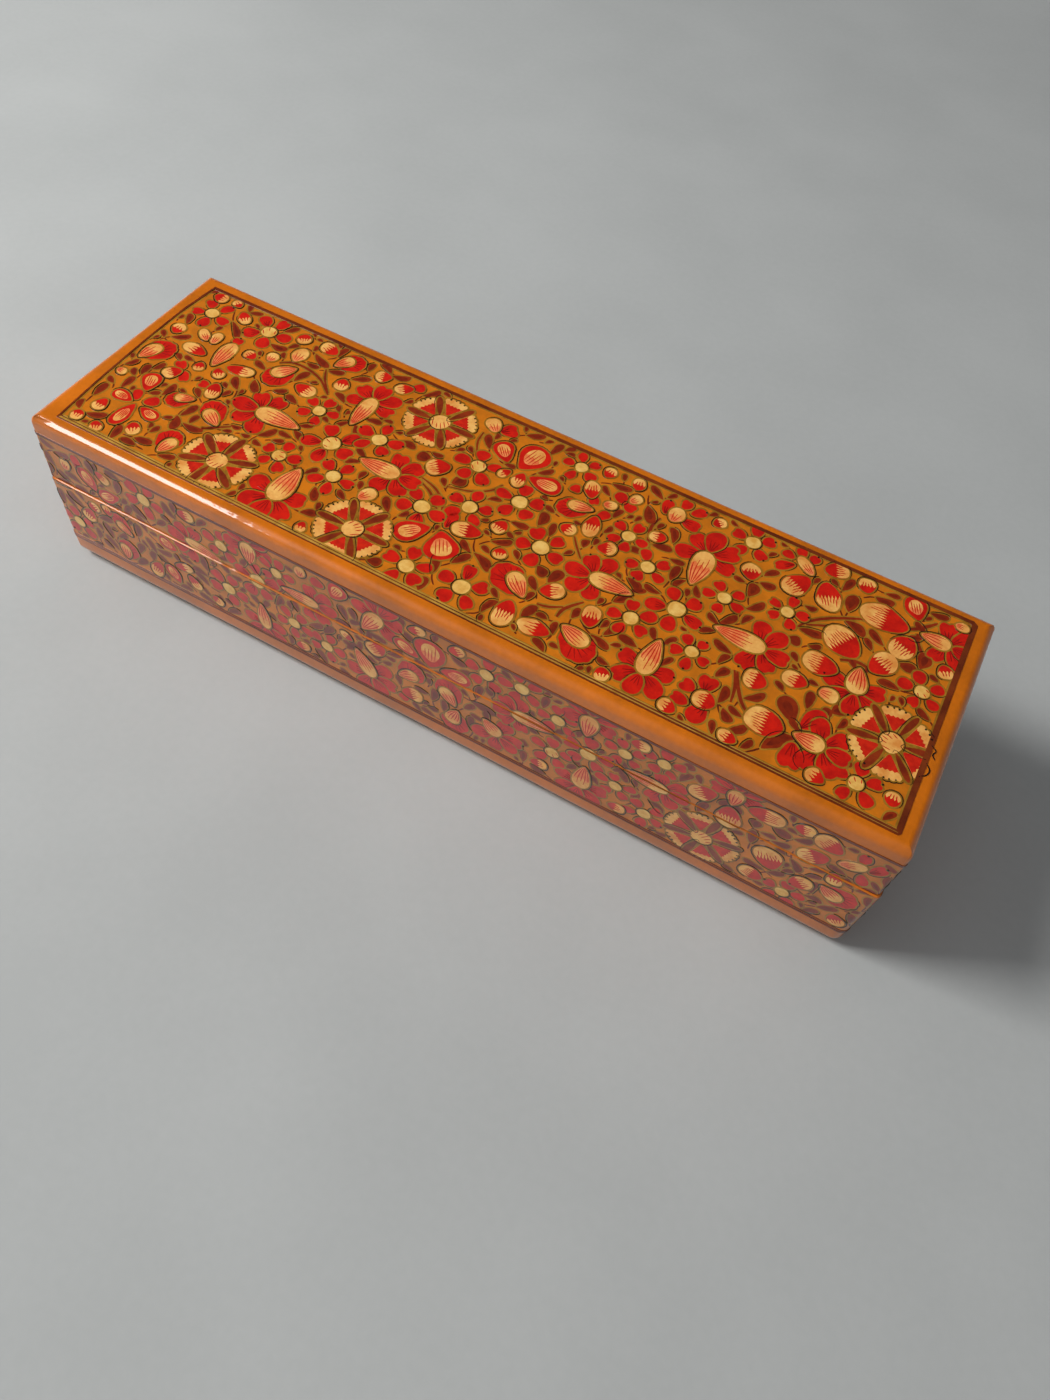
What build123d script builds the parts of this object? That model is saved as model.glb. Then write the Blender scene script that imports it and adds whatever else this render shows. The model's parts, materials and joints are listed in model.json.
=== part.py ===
from build123d import *
import os

# Long box with a lift-off lid, built from pasted board and wrapped in a gesso and lacquer skin.
# Sizes in millimetres. X runs along the box, Y from front to back, Z up.
# The origin is the middle of the underside, on the surface that the box stands on.

# Whole box
box_length = 204.0
box_depth = 63.5
base_height = 25.5
lid_height = 18.0

# Roundings of the wrapped outside
top_edge_radius = 2.2
bottom_edge_radius = 3.2
corner_radius = 1.5
rim_radius = 0.35

# Layers of the walls, from the outside in
wrap_thickness = 0.8
board_thickness = 2.4
lining_thickness = 0.4
rim_turn_thickness = 0.5

# Sheet glued under the base, which the box stands on
underside_thickness = 0.4
underside_margin = 1.0

# Collar glued inside the base, which stands up into the lid and keeps it in place
collar_thickness = 1.8
collar_grip = 9.0
collar_stand = 7.5
collar_play = 0.6
collar_lip_radius = 0.4

# Worked out from the sizes above
box_height = base_height + lid_height
board_inset = wrap_thickness + board_thickness
lining_inset = board_inset + lining_thickness
base_floor_top = underside_thickness + board_inset
lid_ceiling = box_height - board_inset
collar_bottom = base_height - collar_grip
collar_top = base_height + collar_stand

# Places in a list of edges sorted by height
BOTTOM = 0
TOP = -1


def region(x_low, x_high, y_low, y_high, z_low, z_high):
    """The space between two opposite corners, as a plain solid."""
    middle = ((x_low + x_high) / 2, (y_low + y_high) / 2, (z_low + z_high) / 2)
    return Pos(*middle) * Box(x_high - x_low, y_high - y_low, z_high - z_low)


def block(inset, low, high):
    """A plain block with the plan of the box drawn in by an inset, between two heights."""
    half_length = box_length / 2 - inset
    half_depth = box_depth / 2 - inset
    return region(-half_length, half_length, -half_depth, half_depth, low, high)


def end_edges(solid, end):
    """The edges round one end of an upright block: end is BOTTOM or TOP."""
    return solid.edges().group_by(Axis.Z)[end]


def soft_block(inset, low, high, closed_end, closed_radius, open_radius):
    """A block with round corners, a round closed end and a slightly eased open rim."""
    soft = block(inset, low, high)
    if corner_radius > inset:
        soft = fillet(soft.edges().filter_by(Axis.Z), corner_radius - inset)
    if closed_radius > inset:
        soft = fillet(end_edges(soft, closed_end), closed_radius - inset)
    if open_radius > 0:
        open_end = TOP if closed_end == BOTTOM else BOTTOM
        soft = fillet(end_edges(soft, open_end), open_radius)
    return soft


def wall_boards(core, low, high):
    """Front, back, left and right boards: the ends stand between the front and the back."""
    end_x = box_length / 2 - board_inset
    side_y = box_depth / 2 - board_inset
    far_x = box_length / 2
    far_y = box_depth / 2
    spaces = {
        "front": region(-far_x, far_x, -far_y, -side_y, low, high),
        "back": region(-far_x, far_x, side_y, far_y, low, high),
        "left": region(-far_x, -end_x, -side_y, side_y, low, high),
        "right": region(end_x, far_x, -side_y, side_y, low, high),
    }
    return {side: core & space for side, space in spaces.items()}


def make_base():
    """The base: underside sheet, wrap, floor and wall boards, and the lining."""
    low = underside_thickness
    outside = soft_block(0, low, base_height, BOTTOM, bottom_edge_radius, rim_radius)
    core_bottom = low + wrap_thickness
    core_top = base_height - rim_turn_thickness
    core = soft_block(wrap_thickness, core_bottom, core_top, BOTTOM, bottom_edge_radius, 0)
    mouth = block(board_inset, base_floor_top, base_height)
    lining_floor = base_floor_top + lining_thickness
    pieces = {
        "underside_sheet": block(bottom_edge_radius + underside_margin, 0, underside_thickness),
        "base_wrap": outside - core - mouth,
        "base_floor_board": core & block(0, core_bottom, base_floor_top),
        "base_lining": mouth - block(lining_inset, lining_floor, base_height),
    }
    for side, board in wall_boards(core, base_floor_top, core_top).items():
        pieces[f"base_{side}_board"] = board
    return pieces


def make_lid():
    """The lid: wrap, top and wall boards, and the lining."""
    outside = soft_block(0, base_height, box_height, TOP, top_edge_radius, rim_radius)
    core_bottom = base_height + rim_turn_thickness
    core_top = box_height - wrap_thickness
    core = soft_block(wrap_thickness, core_bottom, core_top, TOP, top_edge_radius, 0)
    mouth = block(board_inset, base_height, lid_ceiling)
    lining_ceiling = lid_ceiling - lining_thickness
    pieces = {
        "lid_wrap": outside - core - mouth,
        "lid_top_board": core & block(0, lid_ceiling, core_top),
        "lid_lining": mouth - block(lining_inset, base_height, lining_ceiling),
    }
    for side, board in wall_boards(core, core_bottom, lid_ceiling).items():
        pieces[f"lid_{side}_board"] = board
    return pieces


def make_collar():
    """Four strips inside the base lining: long ones at front and back, short ones between."""
    reach_x = box_length / 2 - lining_inset
    reach_y = box_depth / 2 - lining_inset
    inner_x = reach_x - collar_thickness
    inner_y = reach_y - collar_thickness
    places = {
        "front": ((-reach_x, reach_x), (-reach_y, -inner_y), (1, 1), (1, 0)),
        "back": ((-reach_x, reach_x), (inner_y, reach_y), (1, 1), (0, 1)),
        "left": ((-reach_x, -inner_x), (-inner_y, inner_y), (1, 0), (0, 0)),
        "right": ((inner_x, reach_x), (-inner_y, inner_y), (0, 1), (0, 0)),
    }
    pieces = {}
    for side, (x_span, y_span, x_free, y_free) in places.items():
        grip = region(*x_span, *y_span, collar_bottom, base_height)
        stand = region(
            x_span[0] + collar_play * x_free[0],
            x_span[1] - collar_play * x_free[1],
            y_span[0] + collar_play * y_free[0],
            y_span[1] - collar_play * y_free[1],
            base_height,
            collar_top,
        )
        along = Axis.X if side in ("front", "back") else Axis.Y
        lips = end_edges(stand, TOP).filter_by(along)
        pieces[f"collar_{side}_strip"] = grip + fillet(lips, collar_lip_radius)
    return pieces


def main():
    """Builds every piece and writes one file for each."""
    os.makedirs("parts", exist_ok=True)
    for name, piece in {**make_base(), **make_collar(), **make_lid()}.items():
        export_step(piece, f"parts/{name}.step")


main()
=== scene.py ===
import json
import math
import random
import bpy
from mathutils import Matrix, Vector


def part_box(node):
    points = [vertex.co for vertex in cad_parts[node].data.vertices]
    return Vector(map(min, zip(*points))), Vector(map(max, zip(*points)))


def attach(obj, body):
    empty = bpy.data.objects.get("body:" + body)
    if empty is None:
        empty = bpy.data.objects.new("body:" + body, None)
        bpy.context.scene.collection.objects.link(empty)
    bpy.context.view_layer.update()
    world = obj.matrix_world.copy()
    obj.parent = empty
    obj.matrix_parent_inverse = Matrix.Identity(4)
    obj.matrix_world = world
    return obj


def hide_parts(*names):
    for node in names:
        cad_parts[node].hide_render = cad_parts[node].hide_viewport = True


bl_info = {
    "name": "Long painted papier mache box",
    "version": (1, 0, 0),
    "blender": (4, 5, 0),
    "location": "3D View > Sidebar > Painted Box",
    "description": "Dresses a long box with a lift-off lid in painted and lacquered papier mache",
    "category": "Object",
}

import bmesh
import bpy
import numpy as np
from mathutils import Matrix, Vector

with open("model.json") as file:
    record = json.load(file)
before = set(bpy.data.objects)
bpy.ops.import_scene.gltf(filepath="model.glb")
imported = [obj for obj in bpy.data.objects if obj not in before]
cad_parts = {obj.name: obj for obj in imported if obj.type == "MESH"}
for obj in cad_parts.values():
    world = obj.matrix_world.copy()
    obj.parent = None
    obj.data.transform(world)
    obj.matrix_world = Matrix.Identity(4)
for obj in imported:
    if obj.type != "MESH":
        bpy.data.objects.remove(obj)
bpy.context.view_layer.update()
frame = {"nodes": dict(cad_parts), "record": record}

# Sizes are in millimetres until a mesh is made.
MM = 0.001
SIDES = ("front", "back", "left", "right")


def box_mm(node):
    """Lowest and highest corner of a piece, in millimetres."""
    low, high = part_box(node)
    return [value / MM for value in low], [value / MM for value in high]


# Outside of the box, from its pieces
BASE_LOW, BASE_HIGH = box_mm("base_wrap")
LID_LOW, LID_HIGH = box_mm("lid_wrap")
BOARD_LOW, _ = box_mm("base_front_board")
LINING_LOW, _ = box_mm("base_lining")
HALF_LENGTH = BASE_HIGH[0]
HALF_DEPTH = BASE_HIGH[1]
PARTING = LID_LOW[2]
TOP = LID_HIGH[2]
WRAP = HALF_DEPTH + BOARD_LOW[1]
MOUTH = HALF_DEPTH + LINING_LOW[1]
TURN_IN = 0.5
GIRTH = 4 * (HALF_LENGTH + HALF_DEPTH)

# Skin of gesso and lacquer: how it is rounded, and how far the hand leaves it uneven
SKIN_DEPTH = 0.16
RIM_RADIUS = 0.45
CORNER_RADIUS = 1.5
FOOT_CORNER_RADIUS = 2.6
UNEVEN = 0.1
PARTING_GAP = 0.04
DENT_SIZE = 4.0
DENT_DEPTH = 0.09
STATION_STEP = 5.0
CORNER_STATIONS = 7
EDGE_STATIONS = 8

# Outer edge of the frame line round the flowers on the lid, clockwise from the front left.
# The line at the left was drawn with a bow.
FRAME = (
    (-96.3, -28.1),
    (-97.3, -14.0),
    (-98.0, 4.0),
    (-98.1, 17.0),
    (-97.3, 27.8),
    (0.0, 28.4),
    (96.6, 28.8),
    (97.6, 28.0),
    (97.7, -28.0),
    (97.2, -28.6),
)
# Black brush hooks that run out over it at the right
FRAME_HOOKS = (
    ((97.2, -6.4), (98.3, -7.2), (98.0, -8.4), (98.7, -9.3)),
    ((97.4, -10.8), (98.4, -12.0), (98.2, -13.4), (97.3, -14.2)),
)
# The two gold lines on its front stretch: how far in each starts and ends
GOLD_LINES = ((0.28, 0.76), (0.98, 1.36))
# Share of that stretch, from the right, where they are drawn thin
GOLD_THIN_SHARE = 0.55
# For each stretch of it, how wide its maroon band is
FRAME_BANDS = (0.45, 0.45, 0.45, 0.6, 0.9, 0.9, 1.1, 1.2, 1.1, 1.15)

# The loose lid sits a little back and to the left on the base. How far each stands in from the other's
# edge, at places counted round the box from the middle of the front
FRONT_LEFT = -HALF_LENGTH
FRONT_RIGHT = HALF_LENGTH
BACK_RIGHT = FRONT_RIGHT + 2 * HALF_DEPTH
BACK_LEFT = BACK_RIGHT + 2 * HALF_LENGTH
LID_STEPS = (
    (FRONT_LEFT + CORNER_RADIUS, 0.46),
    (58.0, 0.12),
    (FRONT_RIGHT - 12.0, 0.2),
    (FRONT_RIGHT + CORNER_RADIUS, 0.48),
    (BACK_RIGHT - CORNER_RADIUS, 0.46),
    (BACK_RIGHT + CORNER_RADIUS, 0.0),
    (FRONT_LEFT + GIRTH - CORNER_RADIUS, 0.0),
    (FRONT_LEFT + GIRTH + CORNER_RADIUS, 0.46),
)
BASE_STEPS = (
    (FRONT_LEFT + CORNER_RADIUS, 0.0),
    (BACK_RIGHT - CORNER_RADIUS, 0.0),
    (BACK_RIGHT + CORNER_RADIUS, 0.3),
    (FRONT_LEFT + GIRTH - CORNER_RADIUS, 0.4),
    (FRONT_LEFT + GIRTH + CORNER_RADIUS, 0.0),
)

# Lines round the sides
UPPER_LINE = 38.6
LOWER_LINE = 7.2

# Coats of paint: how far each lies above the skin
COATS = {
    "ground": 0.008,
    "stem": 0.014,
    "halo": 0.020,
    "leaf": 0.026,
    "leaf heart": 0.032,
    "petal halo": 0.038,
    "red": 0.0415,
    "petal contour": 0.045,
    "deep red": 0.088,
    "ring": 0.094,
    "bar": 0.100,
    "cream": 0.100,
    "yolk": 0.100,
    "blush": 0.105,
    "stroke": 0.110,
    "maroon line": 0.116,
    "gold line": 0.122,
    "contour": 0.128,
}
PETAL_COATS = ("petal halo", "red", "petal contour")
COAT_SPREAD = 0.003
PETAL_STEP = 0.010
PAINT_ROOT = 0.03
CELL = 0.25
CUT_STEP = 4.0

# What is painted on the lid. Flowers: x, y, size, turn in degrees.
TOP_FLOWERS = (
    (-91.5, 19.3, 1.05, 55), (-76.5, 21.3, 1.2, 70), (-51.2, 5.3, 0.95, 79), (-35.0, 5.0, 1.1, 90),
    (-37.0, -10.0, 1.05, 72), (-50.2, -11.2, 1.0, 87), (-16.5, -7.0, 1.15, 62), (-10.5, -22.8, 1.1, 31),
    (1.7, -21.5, 1.2, 28), (10.3, -3.2, 1.2, 56), (34.5, -10.0, 1.05, 42), (48.5, -11.0, 0.9, 60),
    (31.7, 4.3, 1.0, 45), (48.8, 5.5, 0.95, 50), (48.3, 23.4, 1.1, 28), (92.0, 4.9, 1.0, 36),
    (87.0, -22.3, 1.0, 24), (6.8, 22.8, 0.95, 38), (0.3, 5.8, 1.15, 30), (61.5, 9.3, 0.9, 12),
    (-12.6, 10.2, 1.1, 100), (-8.0, -1.5, 1.1, 20), (24.6, 10.0, 0.95, 70),
    (-43.0, -1.8, 1.3, 55), (41.5, -2.7, 1.25, 50),
)

# Large flowers round a striped bud: x, y of the heart, direction of the tip, bud length and width
TOP_SPRAYS = (
    (-61.6, -2.0, 0, 11.0, 4.4), (-43.0, 14.6, 270, 10.0, 3.8), (-44.0, -21.6, 90, 10.6, 5.2),
    (-26.4, -2.2, 180, 9.8, 4.2), (23.4, -4.3, 0, 9.6, 4.0), (41.3, 14.4, 270, 10.6, 4.8),
    (42.0, -20.4, 90, 9.6, 4.2), (60.0, -2.5, 180, 11.2, 4.4), (93.4, 19.2, 178, 6.4, 3.6),
    (80.1, -2.2, 97, 6.8, 4.2), (78.6, -18.4, 178, 6.2, 3.9),
)

# Wheel flowers: x, y, radius, turn
TOP_WHEELS = ((-60.0, -19.8, 8.2, 53), (-26.8, 17.6, 8.4, 30), (-25.2, -20.3, 8.2, 30), (90.2, -10.0, 8.6, 40))

# Buds and petals: kind, x, y, length, width, direction of the round end
TOP_BUDS = (
    ("cap", -93.4, 25.2, 3.6, 3.2, 0), ("cap", -88.8, 25.6, 2.8, 2.2, 150), ("cap", -84.3, 22.2, 4.4, 3.0, -45),
    ("cap", -94.3, 10.3, 3.5, 3.3, 90), ("oval", -88.0, 11.9, 4.4, 2.4, 142), ("oval", -85.0, 12.4, 4.2, 2.5, 100),
    ("cap", -86.6, 6.5, 6.2, 3.3, 175), ("cap", -82.0, 2.2, 2.9, 2.5, -70), ("cap", -77.0, 2.8, 3.4, 2.7, -50),
    ("cap", -73.5, 6.3, 6.4, 3.2, 10), ("cap", -75.0, 12.0, 3.2, 2.8, 160), ("oval", -70.4, 14.3, 3.1, 2.8, 90),
    ("cap", -68.3, 24.0, 3.6, 3.4, -60), ("oval", -65.7, 18.5, 4.8, 3.7, 95), ("cap", -61.2, 24.3, 4.9, 3.7, 165),
    ("cap", -52.0, 15.5, 3.9, 3.3, -75), ("cap", -57.7, 9.3, 5.2, 3.8, -10), ("long", -80.0, 8.6, 9.0, 3.9, 92),
    ("petal", -80.3, 14.2, 3.0, 2.6, 92), ("fan", -54.6, 22.4, 7.6, 6.2, 45), ("fan", -65.2, 10.6, 9.0, 6.8, 245),
    ("fan", -93.2, 0.8, 9.2, 7.0, 62), ("cap", -85.7, -2.8, 4.2, 3.6, 230), ("petal", -85.6, 0.4, 3.4, 2.6, 130),
    ("petal", -82.6, -2.4, 3.6, 2.4, 300), ("cap", -74.3, -2.6, 5.0, 3.4, -75), ("petal", -77.3, -2.0, 2.8, 2.4, 180),
    ("fan", -78.2, -8.9, 6.6, 5.0, 215), ("oval", -95.0, -8.7, 2.4, 2.2, 0), ("fan", -69.4, -8.6, 8.4, 6.2, 135),
    ("petal", -87.0, -12.9, 3.6, 2.2, 118), ("petal", -83.0, -13.0, 3.6, 2.8, 40), ("core", -89.3, -15.0, 5.4, 3.2, 175),
    ("core", -81.0, -16.4, 5.2, 3.2, -12), ("core", -85.5, -19.4, 7.4, 3.6, 268), ("cap", -91.5, -19.8, 3.8, 3.1, 268),
    ("cap", -80.8, -21.9, 3.8, 3.2, -50), ("cap", -93.3, -25.0, 3.2, 2.8, -80), ("cap", -87.7, -25.7, 3.2, 2.8, -60),
    ("fan", -72.2, -21.2, 7.4, 6.2, 90), ("core", -87.4, -8.0, 5.8, 4.4, 110),
    ("cap", -45.6, 23.3, 3.8, 3.6, 200), ("cap", -39.4, 22.4, 4.4, 3.2, 215), ("petal", -36.8, 24.7, 3.0, 2.8, 30),
    ("oval", -16.2, 23.7, 4.6, 3.5, 130), ("petal", -12.2, 24.0, 4.2, 4.0, 40), ("core", -10.0, 17.5, 6.6, 4.6, 130),
    ("core", -3.6, 19.0, 8.8, 7.0, 75), ("core", 2.4, 13.6, 7.8, 4.8, 0), ("cap", -6.8, 11.6, 3.2, 2.2, 240),
    ("cap", -3.1, 11.6, 4.6, 3.0, 272), ("cap", -19.8, 5.1, 5.4, 4.8, 220), ("oval", -28.0, -10.5, 4.4, 3.3, 60),
    ("cap", -5.2, -7.6, 6.6, 4.1, 195), ("petal", -9.3, -7.0, 4.8, 2.4, 90), ("core", -14.8, -13.9, 7.6, 5.4, 225),
    ("core", -7.4, -14.2, 7.8, 7.2, -60), ("cap", -34.3, -25.7, 2.8, 2.4, -80), ("cap", 0.2, -2.8, 3.8, 3.4, -100),
    ("cap", 11.9, 18.0, 5.2, 3.4, 110), ("petal", 13.6, 15.4, 3.2, 2.4, -60), ("fan", 11.4, 11.0, 8.4, 6.0, 205),
    ("cap", 16.6, 8.2, 6.4, 3.6, -80), ("cap", 12.7, 4.7, 3.7, 3.2, -10), ("cap", 22.2, 4.3, 4.0, 3.6, 20),
    ("cap", 20.0, 25.2, 3.8, 3.0, 100), ("cap", 13.0, 24.9, 3.2, 3.0, 80), ("oval", 21.4, 20.6, 3.2, 2.6, 60),
    ("oval", 17.3, 16.0, 3.0, 2.6, 20), ("petal", 18.4, 19.4, 3.4, 3.0, 130), ("petal", 17.3, 12.3, 3.8, 2.4, 60),
    ("petal", 21.2, 17.8, 3.2, 2.8, -20), ("cap", 39.9, 24.6, 3.2, 2.8, 40), ("cap", 30.1, 13.3, 3.8, 3.0, 190),
    ("cap", 51.0, 15.4, 4.6, 4.0, 110), ("petal", 8.6, 16.3, 2.6, 2.4, 30), ("petal", 28.2, 22.7, 4.6, 2.8, 95),
    ("oval", 30.9, 21.5, 4.6, 3.7, 85), ("petal", 31.6, 25.6, 3.2, 2.6, 80), ("petal", 34.9, 24.8, 3.8, 2.6, 40),
    ("petal", 34.7, 20.6, 4.6, 3.4, -5), ("cap", 3.8, -9.3, 3.1, 2.9, -70), ("cap", 17.8, -12.3, 5.2, 3.9, 30),
    ("cap", 27.5, -14.0, 5.6, 3.9, 105), ("cap", 12.2, -22.6, 7.0, 4.4, -85), ("cap", 19.0, -22.8, 6.8, 4.1, 185),
    ("cap", 35.5, -25.5, 3.3, 3.1, -70), ("cap", 49.5, -25.5, 3.7, 3.2, 170), ("fan", 9.6, -14.8, 10.4, 7.8, 150),
    ("fan", 27.4, -21.4, 10.4, 7.8, -32), ("oval", 60.6, 23.5, 5.4, 2.7, 140), ("petal", 58.6, 26.6, 2.8, 2.4, 110),
    ("petal", 61.6, 26.2, 2.8, 2.4, 70), ("petal", 56.2, 24.6, 2.8, 2.4, 160), ("petal", 56.4, 21.2, 4.8, 2.6, 215),
    ("cap", 66.8, 26.0, 5.4, 4.2, 20), ("cap", 73.8, 25.5, 4.2, 3.7, 110), ("core", 84.8, 25.3, 6.2, 5.0, 115),
    ("oval", 94.8, 25.8, 3.0, 2.4, 0), ("cap", 60.6, 17.5, 6.8, 5.4, 240), ("cap", 67.6, 18.1, 7.6, 5.5, -65),
    ("cap", 79.7, 19.0, 10.2, 6.8, 180), ("cap", 85.4, 13.8, 7.0, 5.3, 250), ("cap", 74.1, 8.2, 8.8, 7.0, 150),
    ("cap", 83.0, 7.3, 6.8, 5.4, 62), ("cap", 94.8, 12.3, 3.6, 3.2, -60), ("cap", 71.9, 0.3, 7.2, 5.4, 180),
    ("cap", 68.8, -6.2, 5.2, 4.0, 180), ("oval", 75.9, -6.0, 3.9, 3.5, 0), ("cap", 62.0, -10.5, 4.8, 4.7, 180),
    ("cap", 67.2, -18.8, 8.0, 6.2, 182), ("petal", 75.3, -13.4, 6.6, 4.0, 62), ("petal", 74.2, -23.4, 6.4, 4.6, -80),
    ("cap", 79.7, -25.0, 3.8, 3.3, 165), ("cap", 62.2, -25.8, 4.0, 2.8, 170), ("cap", 94.1, -22.0, 3.4, 3.0, 90),
    ("petal", 54.3, -16.3, 4.2, 4.0, 90), ("petal", 55.2, -23.9, 5.2, 4.0, -110), ("cap", 55.2, -20.4, 4.6, 4.3, 180),
    ("petal", 51.0, -18.9, 3.4, 3.2, 160), ("petal", 50.8, -22.6, 4.0, 2.8, 170),
)

# Leaves listed one by one: x, y, length, width, turn
TOP_LEAVES = (
    (70.2, -13.4, 6.4, 4.0, 130), (70.6, -22.0, 6.6, 3.0, 55), (75.2, 13.0, 5.2, 2.4, -20), (72.5, 19.0, 2.8, 5.2, 0),
    (67.8, 7.0, 5.2, 2.2, 8), (78.4, 23.8, 4.2, 2.4, 5), (90.0, 12.6, 3.0, 4.6, 0), (87.6, 9.4, 3.6, 2.6, 10),
    (65.2, 3.0, 3.0, 2.6, 0), (55.4, 13.9, 3.4, 2.2, 10), (53.0, 10.8, 2.6, 4.0, 0), (-74.9, -15.4, 4.4, 2.3, -68),
    (-70.6, -14.4, 5.2, 1.8, 3), (-83.4, 17.3, 6.6, 1.7, -44), (-71.4, 18.2, 4.2, 2.2, 4), (-60.4, 19.8, 5.6, 2.0, -26),
    (-67.7, 4.0, 4.6, 2.0, -52), (-37.4, -16.4, 4.2, 2.0, -62), (-35.2, -21.8, 3.6, 2.0, 20),
    (-14.0, 4.0, 3.6, 3.2, 60), (-23.9, 6.2, 3.0, 3.4, 80), (-29.0, 7.2, 4.2, 2.0, 0), (1.8, -13.6, 5.8, 2.2, -30),
    (6.6, 4.2, 4.4, 2.4, 95), (25.6, 18.4, 5.4, 2.6, -60), (27.4, 7.2, 3.6, 2.0, 15), (17.8, 3.0, 2.6, 1.8, 90),
    (13.3, -9.0, 3.2, 2.4, -40), (16.5, -8.6, 4.6, 2.6, 75), (24.4, -14.8, 3.2, 1.8, 85), (32.6, -14.6, 4.4, 2.0, 65),
    (31.8, -18.8, 5.0, 1.8, -18), (16.4, -19.8, 4.6, 2.2, 75), (9.0, -22.8, 4.6, 1.7, 70), (3.7, 0.0, 4.2, 1.8, 5),
    (30.8, -6.4, 4.6, 2.2, 55), (31.2, -1.6, 4.4, 2.0, -30), (57.7, -17.2, 4.4, 2.0, 90), (60.4, -21.2, 3.6, 2.0, -40),
    (55.8, -12.4, 3.6, 2.0, 60), (83.4, -19.2, 3.6, 2.0, 10), (79.0, -8.6, 3.6, 2.6, 40), (76.8, -10.4, 3.0, 2.2, 90),
    (63.2, -23.0, 4.0, 2.0, 40), (-6.0, -19.4, 1.7, 5.0, 20), (-5.4, -25.0, 2.2, 4.0, 5), (-16.6, -25.2, 3.0, 2.4, 20),
)

# Leaves that fill the gaps, from the largest: length and width
LEAF_SIZES = ((4.6, 1.9), (3.9, 1.7), (3.3, 1.5), (2.7, 1.4), (2.2, 1.2), (1.7, 1.0))

# Stems: width, then the points that they run through
TOP_STEMS = (
    (0.7, (-68.0, 13.6), (-65.6, 15.4), (-61.5, 15.6), (-57.0, 14.2), (-52.6, 10.8)),
    (0.5, (-58.0, 18.0), (-56.0, 14.6), (-53.0, 11.4)),
    (0.7, (-66.0, -11.4), (-69.0, -13.8), (-64.0, -9.6)),
    (0.6, (-21.0, 0.4), (-17.0, -0.8), (-13.6, -3.4), (-11.8, -7.2)),
    (0.6, (-20.2, -1.0), (-17.0, -2.6), (-13.0, -6.4)),
    (0.5, (-5.2, 8.4), (-6.6, 5.4), (-10.0, 2.8), (-15.0, 1.2)),
    (0.5, (-17.0, 20.4), (-16.6, 17.0), (-15.0, 13.8)),
    (0.8, (28.2, 18.8), (27.6, 15.6), (28.4, 12.0), (29.8, 8.8)),
    (0.5, (14.8, 3.6), (16.4, 1.4), (18.8, -1.4)),
    (0.8, (21.6, -17.8), (22.0, -15.0), (24.6, -11.4)),
    (0.6, (16.6, -17.0), (19.0, -16.4), (21.6, -14.8)),
    (0.7, (64.4, 6.4), (66.2, 9.4), (69.6, 12.6), (74.8, 15.8), (76.6, 16.4)),
    (0.6, (66.0, 8.4), (69.0, 10.0), (71.2, 11.0)),
    (0.9, (84.4, 18.6), (87.0, 20.6), (90.0, 24.0)),
    (0.9, (87.0, 19.0), (87.8, 16.4), (89.6, 14.0)),
    (0.8, (58.2, -10.4), (59.6, -13.6), (61.6, -16.8), (64.0, -19.0)),
    (0.7, (57.6, -10.4), (59.2, -14.2), (59.8, -18.0)),
    (0.8, (75.0, 3.6), (78.4, 5.0), (81.6, 4.4)),
)

# What is painted on the front, in the same way, with the height in place of y
FRONT_FLOWERS = (
    (-72.7, 34.0, 1.1, 60), (-52.3, 31.7, 0.95, 90), (-97.0, 13.6, 1.0, 20), (-52.4, 17.7, 1.1, 60),
    (-43.4, 25.8, 1.2, 90), (-37.8, 31.9, 0.9, 70), (-34.6, 17.2, 1.0, 55), (-26.0, 14.7, 1.0, 66),
    (13.9, 33.6, 1.05, 90), (30.8, 30.4, 1.0, 33), (38.7, 24.3, 1.2, 90), (45.9, 30.6, 0.95, 33),
    (31.1, 18.3, 1.05, 18), (46.2, 18.0, 0.95, 28), (53.9, 33.8, 0.95, 90), (54.0, 13.2, 1.05, 54),
    (22.0, 34.9, 1.05, 40), (86.6, 10.6, 1.0, 20),
)
FRONT_SPRAYS = (
    (-61.6, 27.4, -8, 9.6, 3.0), (-44.8, 36.4, 270, 6.6, 3.8), (-28.4, 27.6, 178, 9.4, 3.0),
    (-43.3, 10.4, 92, 8.6, 3.3), (-12.2, 34.2, 238, 8.0, 4.2), (-14.2, 12.6, 118, 9.0, 4.3),
    (21.6, 25.2, 2, 9.8, 3.3), (37.3, 36.4, 270, 7.0, 3.9), (38.9, 11.4, 90, 8.6, 4.2), (55.6, 25.2, 178, 9.6, 3.2),
    (68.8, 36.4, 270, 5.2, 3.2), (18.2, 14.4, 138, 5.6, 4.0),
)
FRONT_WHEELS = ((66.8, 15.4, 8.4, 48),)
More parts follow.
